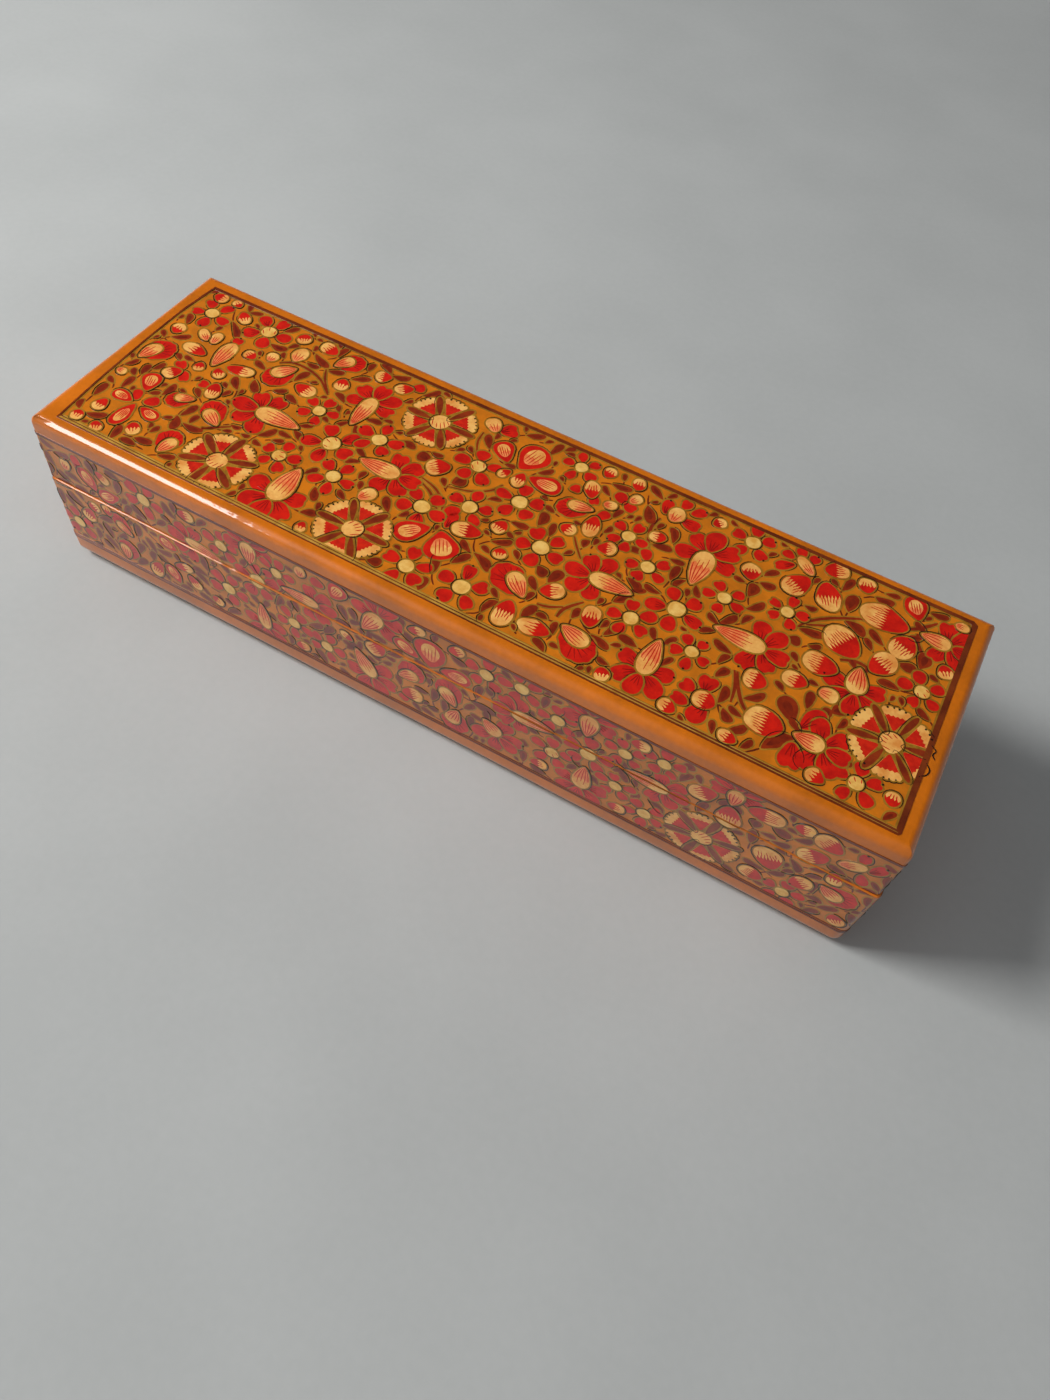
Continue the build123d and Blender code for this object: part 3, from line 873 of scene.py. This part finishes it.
    def leaf(self, x, y, length, width, turn, contour=True):
        """A brown almond leaf in a gold outline."""
        if width > length:
            length, width, turn = width, length, turn + 90
        bend = self.chance.uniform(-0.12, 0.12)
        shape = egg(length, width, 0.8, 1.3)
        shape = [(px, py + bend * length * (1 - (2 * px / length) ** 2)) for px, py in shape]
        shape = placed(self.loose(shape), x, y, turn)
        stalk = [(-0.4 * length, 0.0), (-0.75 * length, bend * length), (-1.05 * length, 3 * bend * length)]
        self.add("stem", placed(ribbon(smooth_line(stalk, 3), 0.4, 0.4), x, y, turn))
        self.add("halo", grown(shape, 0.34))
        self.add("leaf", shape)
        heart = [(px * 0.6, py * 0.45 + bend * length * 0.8) for px, py in egg(length, width, 0.8, 1.3, count=7)]
        self.add("leaf heart", placed(heart, x, y, turn))
        if contour and self.chance.random() < 0.4:
            self.outline(shape, 0.32, self.chance.choice((0.02, 0.5)), 0.42, 0.16)

    def add_frame(self):
        """The frame line on the lid: a maroon band, gold along its middle at the front, olive inside it."""
        inner = frame_inset(FRAME_BANDS)
        rim = frame_inset([band + 0.4 for band in FRAME_BANDS])
        count = len(FRAME)
        for i in range(count):
            j = (i + 1) % count
            for near, far, coat in ((FRAME, inner, "maroon line"), (inner, rim, "halo")):
                self.add_strip(coat, near[i], near[j], far[j], far[i])
        for low, high in GOLD_LINES:
            near, far = frame_inset([low] * count), frame_inset([high] * count)
            ends = [Vector(point) for point in (near[-1], near[0], far[0], far[-1])]
            middle_near, middle_far = ends[0].lerp(ends[1], GOLD_THIN_SHARE), ends[3].lerp(ends[2], GOLD_THIN_SHARE)
            thin_near, thin_far = ends[0].lerp(ends[3], 0.42), ends[0].lerp(ends[3], 0.58)
            self.add_strip("gold line", thin_near, middle_near, middle_far, thin_far)
            self.add_strip("gold line", middle_near, ends[1], ends[2], middle_far)
        for hook in FRAME_HOOKS:
            self.add("contour", ribbon(smooth_line(hook), 0.26, 0.4))

    def add_strip(self, coat, a, b, c, d):
        """A long four-sided strip in short pieces: a to b is one side, d to c the other."""
        count = max(1, round(math.hypot(b[0] - a[0], b[1] - a[1]) / CUT_STEP))
        a, b, c, d = Vector(a), Vector(b), Vector(c), Vector(d)
        for i in range(count):
            t, u = i / count, (i + 1) / count
            self.add(coat, [tuple(p) for p in (a.lerp(b, t), a.lerp(b, u), d.lerp(c, u), d.lerp(c, t))])

    def stem(self, width, *points):
        """A brown stem through the points."""
        line = smooth_line(points)
        self.add("halo", ribbon(line, width + 0.7, 0.6))
        self.add("leaf", ribbon(line, width, 0.35))

    def draw(self, flowers, sprays, wheels, buds, leaves, stems):
        """Paints all that was listed."""
        kinds = {
            "cap": self.cap_bud,
            "core": self.core_bud,
            "fan": self.fan_bud,
            "oval": self.oval_bud,
            "long": self.long_bud,
            "petal": self.petal,
        }
        for stem in stems:
            self.stem(*stem)
        for leaf in leaves:
            self.leaf(*leaf)
        for wheel in wheels:
            self.wheel(*wheel)
        for spray in sprays:
            self.spray(*spray)
        for flower in flowers:
            self.flower(*flower)
        for kind, *place in buds:
            kinds[kind](*place)

    def fill(self, sizes, tries):
        """Fills the bare ground with leaves, the large ones first."""
        for length, width in sizes:
            for _ in range(tries):
                x = self.chance.uniform(self.low[0], self.high[0])
                y = self.chance.uniform(self.low[1], self.high[1])
                turn = self.chance.uniform(0, 180)
                if self.bare(x, y) and self.free(placed(egg(length + 0.3, width + 0.3, 0.7, 1.4, count=6), x, y, turn), 0.03):
                    self.leaf(x, y, length, width, turn)

    def scatter(self, wheels):
        """Places flowers and buds by chance, where nothing listed was placed."""
        plans = (
            (self.wheel, 8.2, 300, wheels),
            (self.spray_at, 6.4, 500, 99),
            (self.flower_at, 4.9, 500, 99),
            (self.spray_at, 5.6, 500, 99),
            (self.flower_at, 4.4, 900, 99),
            (self.bud_at, 3.6, 900, 99),
            (self.flower_at, 3.7, 900, 99),
            (self.bud_at, 2.9, 900, 99),
            (self.bud_at, 2.2, 1200, 99),
            (self.bud_at, 1.8, 1200, 99),
        )
        for drawn, radius, tries, most in plans:
            drawn_so_far = 0
            for _ in range(tries * round(self.high[0] - self.low[0]) // 200):
                x = self.chance.uniform(self.low[0] + 1, self.high[0] - 1)
                y = self.chance.uniform(self.low[1] + 1, self.high[1] - 1)
                if drawn_so_far < most and self.bare(x, y) and self.free(placed(disc(radius), x, y, 0), 0.02):
                    drawn(x, y, radius, self.chance.uniform(0, 360))
                    drawn_so_far += 1

    def spray_at(self, x, y, radius, turn):
        """A large flower that fits in the radius."""
        cos, sin = math.cos(math.radians(turn)), math.sin(math.radians(turn))
        self.spray(x - 0.2 * radius * cos, y - 0.2 * radius * sin, turn, radius * 1.15, radius * 0.5)

    def flower_at(self, x, y, radius, turn):
        """A small flower that fits in the radius."""
        self.flower(x, y, radius / 4.7, turn)

    def bud_at(self, x, y, radius, turn):
        """A bud that fits in the radius."""
        drawn = self.chance.choice((self.cap_bud, self.cap_bud, self.core_bud, self.fan_bud, self.oval_bud))
        drawn(x, y, radius * 1.9, radius * 1.35, turn)


# ---------------------------------------------------------------- meshes


def skin_normal(surface, u, v):
    """Which way the skin faces at a place, so that light runs on over the coats of paint."""
    step = 0.05
    along = Vector(surface(u + step, v, 0.0)) - Vector(surface(u - step, v, 0.0))
    across = Vector(surface(u, v + step, 0.0)) - Vector(surface(u, v - step, 0.0))
    return along.cross(across).normalized()[:]


def grid_cuts(low, high, across):
    """Cut lines at even steps from low to high, so that paint bends with the skin: across is their normal."""
    count = int((high - low) / CUT_STEP)
    steps = [low + CUT_STEP * (i + 0.5) for i in range(count)]
    return [((step * across[0], step * across[1]), across, False) for step in steps]


def skirted(name, shapes, surface, cuts):
    """Thin closed coats of paint from flat outlines: cuts are (point, normal) lines, kept behind."""
    flat = bmesh.new()
    for points, lift in shapes:
        flat.faces.new([flat.verts.new((x, y, lift)) for x, y in points])
    for point, normal, clear in cuts:
        geometry = flat.verts[:] + flat.edges[:] + flat.faces[:]
        bmesh.ops.bisect_plane(
            flat,
            geom=geometry,
            dist=1e-5,
            plane_co=(*point, 0.0),
            plane_no=(*normal, 0.0),
            clear_outer=clear,
        )
    flat.normal_update()
    bmesh.ops.triangulate(flat, faces=flat.faces[:])
    flat.verts.index_update()
    if not flat.faces:
        flat.free()
        return None
    count = len(flat.verts)
    top = [surface(v.co.x, v.co.y, v.co.z) for v in flat.verts]
    bottom = [surface(v.co.x, v.co.y, -PAINT_ROOT) for v in flat.verts]
    facing = [skin_normal(surface, v.co.x, v.co.y) for v in flat.verts]
    faces = []
    for face in flat.faces:
        a, b, c = (v.index for v in face.verts)
        if face.normal.z < 0:
            a, c = c, a
        faces += [(a, b, c), (c + count, b + count, a + count)]
        ring = (a, b, c)
        edges = {frozenset(v.index for v in edge.verts) for edge in face.edges if edge.is_boundary}
        for p, q in ((ring[0], ring[1]), (ring[1], ring[2]), (ring[2], ring[0])):
            if frozenset((p, q)) in edges:
                faces.append((p, p + count, q + count, q))
    flat.free()
    mesh = bpy.data.meshes.new(name)
    mesh.from_pydata([tuple(value * MM for value in point) for point in top + bottom], [], faces)
    mesh.shade_smooth()
    normals = []
    for face in mesh.polygons:
        upper = all(vertex < count for vertex in face.vertices)
        normals += [facing[vertex] if upper else face.normal[:] for vertex in face.vertices]
    mesh.normals_split_custom_set(normals)
    return mesh


def add_piece(name, mesh, body, *materials):
    """Puts a mesh in the scene as a piece on a body of the box."""
    piece = bpy.data.objects.new(name, mesh)
    bpy.context.scene.collection.objects.link(piece)
    for mat in materials:
        mesh.materials.append(mat)
    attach(piece, body)
    return piece


def put_on(painting, surface, body, cuts):
    """Turns a painting into one piece for each coat."""
    for coat, shapes in painting.shapes.items():
        if not shapes:
            continue
        name = f"{painting.name}_{coat.replace(' ', '_')}"
        mesh = skirted(name, shapes, surface, cuts)
        if mesh:
            piece = add_piece(name, mesh, body, paint_material(coat))


def stations(half):
    """Steps along one side between its corners."""
    flat = half - CORNER_RADIUS
    count = round(2 * flat / STATION_STEP)
    return [flat * (2 * i / count - 1) for i in range(count + 1)]


def girth_stations():
    """Steps round the whole box, from the left end of the front."""
    steps, start = [], -HALF_LENGTH
    for half in (HALF_LENGTH, HALF_DEPTH, HALF_LENGTH, HALF_DEPTH):
        steps += [start + half + step for step in stations(half)]
        corner = start + 2 * half - CORNER_RADIUS
        steps += [corner + 2 * CORNER_RADIUS * i / CORNER_STATIONS for i in range(1, CORNER_STATIONS)]
        start += 2 * half
    return steps


def corner_cuts():
    """Upright lines across the rounded corners, where paint is cut so that it bends with them."""
    return [
        ((s, 0.0), (1.0, 0.0), False)
        for s in girth_stations()
        if any(abs(s - c) < CORNER_RADIUS + 0.01 for c in corners())
    ]


def corners():
    """Where the four corners lie round the box."""
    return (FRONT_LEFT, FRONT_RIGHT, BACK_RIGHT, BACK_LEFT, FRONT_LEFT + GIRTH)


def make_skin(name, rim, end, edge_radius, top_like):
    """A closed shell: the wrap of the base or the lid, from its rim to its rounded far end."""
    up = 1 if end > rim else -1
    steps = girth_stations()
    bm = bmesh.new()

    def ring(inset, z, outside):
        loop = []
        for s in steps:
            depth = inset
            height = z
            if outside:
                depth += SKIN_DEPTH + UNEVEN * uneven(s, z) + step_in(s, z)
            x, y = plan(s, depth, corner_radius(z) if outside else CORNER_RADIUS)
            if outside == "end":
                height -= up * UNEVEN * uneven(x, y)
            loop.append(bm.verts.new((x * MM, y * MM, height * MM)))
        return loop

    far = end - up * (SKIN_DEPTH if top_like else 0.0)
    start = rim + up * PARTING_GAP / 2
    inner_radius = max(edge_radius - WRAP, 0.1)
    profile = []
    for i in range(EDGE_STATIONS, -1, -1):
        bend = math.radians(90 * i / EDGE_STATIONS)
        inset = WRAP + inner_radius * (1 - math.cos(bend))
        profile.append(ring(inset, end - up * WRAP - up * inner_radius * (1 - math.sin(bend)), False))
    profile.append(ring(WRAP, rim + up * TURN_IN, False))
    profile.append(ring(MOUTH, rim + up * TURN_IN, False))
    profile.append(ring(MOUTH, start, False))
    for i in range(EDGE_STATIONS // 2 + 1):
        bend = math.radians(180 * i / EDGE_STATIONS)
        profile.append(ring(RIM_RADIUS * (1 - math.sin(bend)), start + up * RIM_RADIUS * (1 - math.cos(bend)), True))
    side = abs(far - start) - RIM_RADIUS - edge_radius
    rows = max(2, round(side / STATION_STEP))
    for i in range(1, rows):
        profile.append(ring(0.0, start + up * (RIM_RADIUS + side * i / rows), True))
    for i in range(EDGE_STATIONS + 1):
        bend = math.radians(90 * i / EDGE_STATIONS)
        z = far - up * edge_radius * (1 - math.sin(bend))
        kind = "end" if i == EDGE_STATIONS and top_like else True
        profile.append(ring(edge_radius * (1 - math.cos(bend)), z, kind))
    for low, high in zip(profile, profile[1:]):
        for i in range(len(low)):
            j = (i + 1) % len(low)
            quad = [low[i], low[j], high[j], high[i]]
            bm.faces.new(quad)
    for loop, outside in ((profile[0], False), (profile[-1], True)):
        close_end(bm, loop, outside and top_like)
    bmesh.ops.remove_doubles(bm, verts=bm.verts, dist=2e-6)
    bmesh.ops.holes_fill(bm, edges=[edge for edge in bm.edges if edge.is_boundary], sides=0)
    if any(edge.is_boundary for edge in bm.edges):
        raise RuntimeError(f"{name} isn't closed")
    bmesh.ops.recalc_face_normals(bm, faces=bm.faces)
    mesh = bpy.data.meshes.new(name)
    bm.to_mesh(mesh)
    bm.free()
    return mesh


def close_end(bm, loop, painted):
    """Closes a ring with a grid whose rows run between its points."""
    long_count, short_count = len(stations(HALF_LENGTH)), len(stations(HALF_DEPTH))
    corner = CORNER_STATIONS - 1
    front = loop[:long_count]
    right = loop[long_count + corner : long_count + corner + short_count]
    back_start = long_count + corner + short_count + corner
    back = list(reversed(loop[back_start : back_start + long_count]))
    left_start = back_start + long_count + corner
    left = list(reversed(loop[left_start : left_start + short_count]))
    rows = [front]
    for j in range(1, short_count - 1):
        row = [left[j]]
        for i in range(1, long_count - 1):
            x, y = front[i].co.x, right[j].co.y
            z = left[j].co.z
            if painted:
                z = on_top(x / MM, y / MM, 0.0)[2] * MM
            row.append(bm.verts.new((x, y, z)))
        row.append(right[j])
        rows.append(row)
    rows.append(back)
    for low, high in zip(rows, rows[1:]):
        for i in range(long_count - 1):
            bm.faces.new([low[i], low[i + 1], high[i + 1], high[i]])


def frame_sides():
    """For each stretch of the frame, a point on it and which way is out."""
    sides = []
    for (ax, ay), (bx, by) in zip(FRAME, FRAME[1:] + FRAME[:1]):
        size = math.hypot(bx - ax, by - ay)
        sides.append(((ax, ay), (-(by - ay) / size, (bx - ax) / size)))
    return sides


def frame_inset(widths):
    """The frame's corners drawn in by a width for each stretch."""
    sides = frame_sides()
    result = []
    for i, (point, out) in enumerate(sides):
        _, out_before = sides[i - 1]
        a, b = widths[i - 1], widths[i]
        turn = out_before[0] * out[1] - out_before[1] * out[0]
        if abs(turn) < 0.05:
            result.append((point[0] - out[0] * (a + b) / 2, point[1] - out[1] * (a + b) / 2))
        else:
            dx = (-a * out[1] + b * out_before[1]) / turn
            dy = (-b * out_before[0] + a * out[0]) / turn
            result.append((point[0] + dx, point[1] + dy))
    return result


def frame_cuts(inset):
    """Cut lines along the frame on the lid, drawn in, clearing what lies outside it."""
    return [((x - nx * inset, y - ny * inset), (nx, ny), True) for (x, y), (nx, ny) in frame_sides()]


def cell_grid(columns, rows):
    """The four corners of each cell between the steps of the columns and of the rows."""
    cells = []
    for a, b in zip(columns, columns[1:]):
        for c, d in zip(rows, rows[1:]):
            cells.append([(a, c), (b, c), (b, d), (a, d)])
    return cells


# ---------------------------------------------------------------- add-on


class BoxFinish(bpy.types.PropertyGroup):
    """Sizes and colours of the finish that a user would change."""

    top_edge_radius: bpy.props.FloatProperty(
        name="Top edge radius",
        description="Rounding of the lid's upper edge",
        default=2.2 * MM,
        min=1.0 * MM,
        max=3.0 * MM,
        unit="LENGTH",
    )
    foot_edge_radius: bpy.props.FloatProperty(
        name="Foot edge radius",
        description="Rounding of the base's lower edge",
        default=3.2 * MM,
        min=1.0 * MM,
        max=4.0 * MM,
        unit="LENGTH",
    )
    border_colour: bpy.props.FloatVectorProperty(
        name="Border",
        description="Colour of the plain borders",
        default=linear((216, 114, 4))[:3],
        subtype="COLOR",
        min=0.0,
        max=1.0,
    )
    ground_colour: bpy.props.FloatVectorProperty(
        name="Ground",
        description="Colour between the painted flowers",
        default=linear((214, 120, 12))[:3],
        subtype="COLOR",
        min=0.0,
        max=1.0,
    )


def screen(colour):
    """A shader colour as a screen shows it, 0 to 255."""
    return [255 * (12.92 * v if v <= 0.0031308 else 1.055 * v ** (1 / 2.4) - 0.055) for v in colour]


def toned(colour, factor):
    """The colour made darker or lighter."""
    return [min(255, channel * factor) for channel in colour]


class PAINTEDBOX_OT_skin(bpy.types.Operator):
    """Make the lacquered skins of the base and the lid"""

    bl_idname = "paintedbox.skin"
    bl_label = "Lacquered skins"

    def execute(self, context):
        finish = context.scene.box_finish
        border = screen(finish.border_colour)
        orange = material("orange border lacquer", border, toned(border, 0.86), 14.0, 1.2)
        plans = (
            ("base_skin", "base", "base_wrap", BASE_LOW[2], finish.foot_edge_radius / MM, False),
            ("lid_skin", "lid", "lid_wrap", TOP, finish.top_edge_radius / MM, True),
        )
        for name, body, node, end, radius, top_like in plans:
            mesh = make_skin(name, PARTING, end, radius, top_like)
            mesh.shade_smooth()
            mesh.set_sharp_from_angle(angle=math.radians(40))
            piece = add_piece(name, mesh, body, orange)
            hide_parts(node)
        return {"FINISHED"}


class PAINTEDBOX_OT_grounds(bpy.types.Operator):
    """Paint the ochre grounds that the flowers stand on"""

    bl_idname = "paintedbox.grounds"
    bl_label = "Painted grounds"

    def execute(self, context):
        ground = screen(context.scene.box_finish.ground_colour)
        ochre = material("ochre ground", ground, toned(ground, 0.88), 5.0, 0.7)
        columns = [-HALF_LENGTH + CUT_STEP * i for i in range(int(2 * HALF_LENGTH / CUT_STEP) + 2)]
        rows = [-HALF_DEPTH + CUT_STEP * i for i in range(int(2 * HALF_DEPTH / CUT_STEP) + 2)]
        panel = [(cell, COATS["ground"]) for cell in cell_grid(columns, rows)]
        mesh = skirted("lid_top_ground", panel, on_top, frame_cuts(0.1))
        add_piece("lid_top_ground", mesh, "lid", ochre)
        steps = girth_stations()
        steps.append(steps[0] + GIRTH)
        for body, low, high in (
            ("base", LOWER_LINE, PARTING - PARTING_GAP / 2 - RIM_RADIUS * 0.4),
            ("lid", PARTING + PARTING_GAP / 2 + RIM_RADIUS * 0.4, UPPER_LINE),
        ):
            heights = [low + (high - low) * i / 4 for i in range(5)]
            band = [(cell, COATS["ground"]) for cell in cell_grid(steps, heights)]
            name = f"{body}_side_ground"
            mesh = skirted(name, band, on_side, [])
            add_piece(name, mesh, body, ochre)
        return {"FINISHED"}


class PAINTEDBOX_OT_lid_flowers(bpy.types.Operator):
    """Paint the flowers, leaves and frame line on the lid"""

    bl_idname = "paintedbox.lid_flowers"
    bl_label = "Flowers on the lid"

    def execute(self, context):
        low = (-97.4, -27.4)
        high = (96.5, 27.7)
        painting = Painting("lid_top", 11, low, high)
        painting.draw(TOP_FLOWERS, TOP_SPRAYS, TOP_WHEELS, TOP_BUDS, TOP_LEAVES, TOP_STEMS)
        painting.fill(LEAF_SIZES, 3000)
        cuts = frame_cuts(0.5)
        cuts += grid_cuts(-HALF_LENGTH, HALF_LENGTH, (1.0, 0.0))
        cuts += grid_cuts(-HALF_DEPTH, HALF_DEPTH, (0.0, 1.0))
        put_on(painting, on_top, "lid", cuts)
        lines = Painting("lid_frame", 12, (-HALF_LENGTH, -HALF_DEPTH), (HALF_LENGTH, HALF_DEPTH))
        lines.add_frame()
        put_on(lines, on_top, "lid", [])
        return {"FINISHED"}


class PAINTEDBOX_OT_side_flowers(bpy.types.Operator):
    """Paint the flowers, leaves and lines round the sides"""

    bl_idname = "paintedbox.side_flowers"
    bl_label = "Flowers on the sides"

    def execute(self, context):
        bare = ((), (), (), (), (), ())
        by_hand = (FRONT_FLOWERS, FRONT_SPRAYS, FRONT_WHEELS, FRONT_BUDS, FRONT_LEAVES, ())
        stops = corners()
        for i, side in enumerate(("front", "right", "back", "left")):
            low, high = (stops[i], LOWER_LINE + 0.3), (stops[i + 1], UPPER_LINE - 0.3)
            painting = Painting(f"{side}_side", 21 + i, low, high)
            painting.draw(*(by_hand if side == "front" else bare))
            if side != "front":
                painting.scatter(2 if side == "back" else 1)
            painting.fill(LEAF_SIZES, 3000 if side in ("front", "back") else 900)
            for body, line, normal in (
                ("base", PARTING - PARTING_GAP / 2 - RIM_RADIUS * 0.4, 1.0),
                ("lid", PARTING + PARTING_GAP / 2 + RIM_RADIUS * 0.4, -1.0),
            ):
                painting.name = f"{body}_{side}"
                cuts = [((0.0, line), (0.0, normal), True)]
                cuts.append(((0.0, UPPER_LINE), (0.0, 1.0), True))
                cuts.append(((0.0, LOWER_LINE), (0.0, -1.0), True))
                cuts += corner_cuts()
                cuts += grid_cuts(low[0] + CORNER_RADIUS, high[0] - CORNER_RADIUS, (1.0, 0.0))
                cuts += grid_cuts(LOWER_LINE, UPPER_LINE, (0.0, 1.0))
                put_on(painting, on_side, body, cuts)
        steps = girth_stations()
        steps.append(steps[0] + GIRTH)
        for body, low, high in (
            ("lid", UPPER_LINE - 0.35, UPPER_LINE + 0.35),
            ("base", LOWER_LINE + 0.1, LOWER_LINE + 0.5),
            ("base", LOWER_LINE - 0.7, LOWER_LINE - 0.25),
        ):
            lift = COATS["maroon line"]
            band = [([(a, low), (b, low), (b, high), (a, high)], lift) for a, b in zip(steps, steps[1:])]
            name = f"{body}_side_line_{round(10 * low)}"
            piece = add_piece(name, skirted(name, band, on_side, []), body, paint_material("maroon line"))
        return {"FINISHED"}


class PAINTEDBOX_OT_inside(bpy.types.Operator):
    """Finish the boards, the linings, the collar and the underside"""

    bl_idname = "paintedbox.inside"
    bl_label = "Boards and linings"

    def execute(self, context):
        finishes = {
            "pasteboard": material("pasteboard", (176, 158, 128), (140, 120, 92), 6.0, 0.5, 0.8, 0.0, 0.5),
            "inside_lining": material("black lining lacquer", (44, 38, 34), (26, 22, 20), 12.0, 1.0, 0.4, 0.4, 0.3),
            "collar_board": material("collar lacquer", (60, 48, 40), (36, 28, 24), 9.0, 0.8, 0.45, 0.4, 0.3),
            "underside_paper": material("underside paper", (52, 46, 42), (34, 30, 28), 5.0, 0.4, 0.85, 0.0, 0.6),
        }
        for subpart in frame["record"]["subparts"]:
            finish = finishes.get(subpart["material_slot"])
            if finish:
                node = frame["nodes"][subpart["node"]]
                node.data.materials.clear()
                node.data.materials.append(finish)
        return {"FINISHED"}


def glow_far_off(mat):
    """Lets the floor shine where it is far from the box, so that it stays pale beyond the lights."""
    nodes, links = mat.node_tree.nodes, mat.node_tree.links
    place = nodes.new("ShaderNodeTexCoord")
    far = nodes.new("ShaderNodeVectorMath")
    far.operation = "LENGTH"
    glow = nodes.new("ShaderNodeMapRange")
    glow.inputs["From Min"].default_value = 0.4
    glow.inputs["From Max"].default_value = 1.8
    glow.inputs["To Max"].default_value = 0.2
    shader = nodes["Principled BSDF"]
    shader.inputs["Emission Color"].default_value = (1.0, 1.0, 1.0, 1.0)
    links.new(place.outputs["Object"], far.inputs[0])
    links.new(far.outputs["Value"], glow.inputs["Value"])
    links.new(glow.outputs["Result"], shader.inputs["Emission Strength"])


def add_light(name, place, size, power, colour, upward=(0.0, 0.0, 1.0)):
    """A soft light that faces the box, with its second side as near as can be to upward."""
    data = bpy.data.lights.new(name, "AREA")
    data.shape = "RECTANGLE"
    data.size, data.size_y = size
    data.energy = power
    data.color = colour
    light = bpy.data.objects.new(name, data)
    away = (Vector(place) - Vector((0.0, 0.0, 0.04))).normalized()
    right = Vector(upward).cross(away).normalized()
    upright = away.cross(right)
    turn = Matrix((right, upright, away)).transposed().to_4x4()
    light.matrix_world = Matrix.Translation(place) @ turn
    bpy.context.scene.collection.objects.link(light)
    return light


class PAINTEDBOX_OT_stage(bpy.types.Operator):
    """Set the floor, the lights and the camera"""

    bl_idname = "paintedbox.stage"
    bl_label = "Stage"

    def execute(self, context):
        scene = context.scene
        scene.view_settings.view_transform = "Standard"
        mesh = bpy.data.meshes.new("floor")
        reach = 12.0
        mesh.from_pydata([(-reach, -reach, 0), (reach, -reach, 0), (reach, reach, 0), (-reach, reach, 0)], [], [(0, 1, 2, 3)])
        floor = bpy.data.objects.new("floor", mesh)
        scene.collection.objects.link(floor)
        pale = material("pale floor", (181, 184, 184), (175, 178, 178), 60.0, 2.0, 0.9, 0.0, 0.02)
        glow_far_off(pale)
        mesh.materials.append(pale)

        world = bpy.data.worlds.new("soft room")
        world.use_nodes = True
        nodes, links = world.node_tree.nodes, world.node_tree.links
        place = nodes.new("ShaderNodeTexCoord")
        toward = nodes.new("ShaderNodeVectorMath")
        toward.operation = "DOT_PRODUCT"
        toward.inputs[1].default_value = Vector((-0.05, 0.55, 0.83)).normalized()
        ramp = nodes.new("ShaderNodeValToRGB")
        ramp.color_ramp.elements[0].position = 0.4
        ramp.color_ramp.elements[0].color = (0.27, 0.27, 0.27, 1.0)
        ramp.color_ramp.elements[1].position = 0.8
        ramp.color_ramp.elements[1].color = (0.05, 0.05, 0.05, 1.0)
        links.new(place.outputs["Generated"], toward.inputs[0])
        links.new(toward.outputs["Value"], ramp.inputs["Fac"])
        links.new(ramp.outputs["Color"], nodes["Background"].inputs["Color"])
        scene.world = world
        add_light("gleam", (-0.68, -0.52, 0.62), (0.34, 0.62), 7.6, (1.0, 0.98, 0.97), (0.0, 0.8, 0.6)).visible_diffuse = False
        add_light("window", (-0.72, -0.24, 0.7), (0.34, 0.34), 10.4, (1.0, 0.985, 0.96)).visible_glossy = False
        add_light("ceiling", (-0.1, -0.1, 1.5), (1.4, 1.4), 3.4, (0.96, 0.98, 1.0)).visible_glossy = False

        data = bpy.data.cameras.new("camera")
        data.lens = 26.86
        data.sensor_width = 36.0
        data.clip_start = 0.005
        camera = bpy.data.objects.new("camera", data)
        turn = Matrix.Rotation(math.radians(20.61), 4, "Z")
        tilt = Matrix.Rotation(math.radians(90 - 55.9), 4, "X")
        roll = Matrix.Rotation(math.radians(9.52), 4, "Z")
        camera.matrix_world = Matrix.Translation((0.0647, -0.1422, 0.2066)) @ turn @ tilt @ roll
        scene.collection.objects.link(camera)
        scene.camera = camera
        return {"FINISHED"}


class PAINTEDBOX_PT_sidebar(bpy.types.Panel):
    """Sidebar panel with the steps in order"""

    bl_idname = "PAINTEDBOX_PT_sidebar"
    bl_label = "Painted Box"
    bl_space_type = "VIEW_3D"
    bl_region_type = "UI"
    bl_category = "Painted Box"

    def draw(self, context):
        for name in BoxFinish.__annotations__:
            self.layout.prop(context.scene.box_finish, name)
        for operator in OPERATORS:
            self.layout.operator(operator.bl_idname)


OPERATORS = (
    PAINTEDBOX_OT_skin,
    PAINTEDBOX_OT_grounds,
    PAINTEDBOX_OT_lid_flowers,
    PAINTEDBOX_OT_side_flowers,
    PAINTEDBOX_OT_inside,
    PAINTEDBOX_OT_stage,
)
CLASSES = (BoxFinish, *OPERATORS, PAINTEDBOX_PT_sidebar)


def register():
    for cls in CLASSES:
        bpy.utils.register_class(cls)
    bpy.types.Scene.box_finish = bpy.props.PointerProperty(type=BoxFinish)


def unregister():
    del bpy.types.Scene.box_finish
    for cls in reversed(CLASSES):
        bpy.utils.unregister_class(cls)


def main():
    register()
    for operator in OPERATORS:
        group, name = operator.bl_idname.split(".")
        getattr(getattr(bpy.ops, group), name)()


if __name__ == "__main__":
    main()
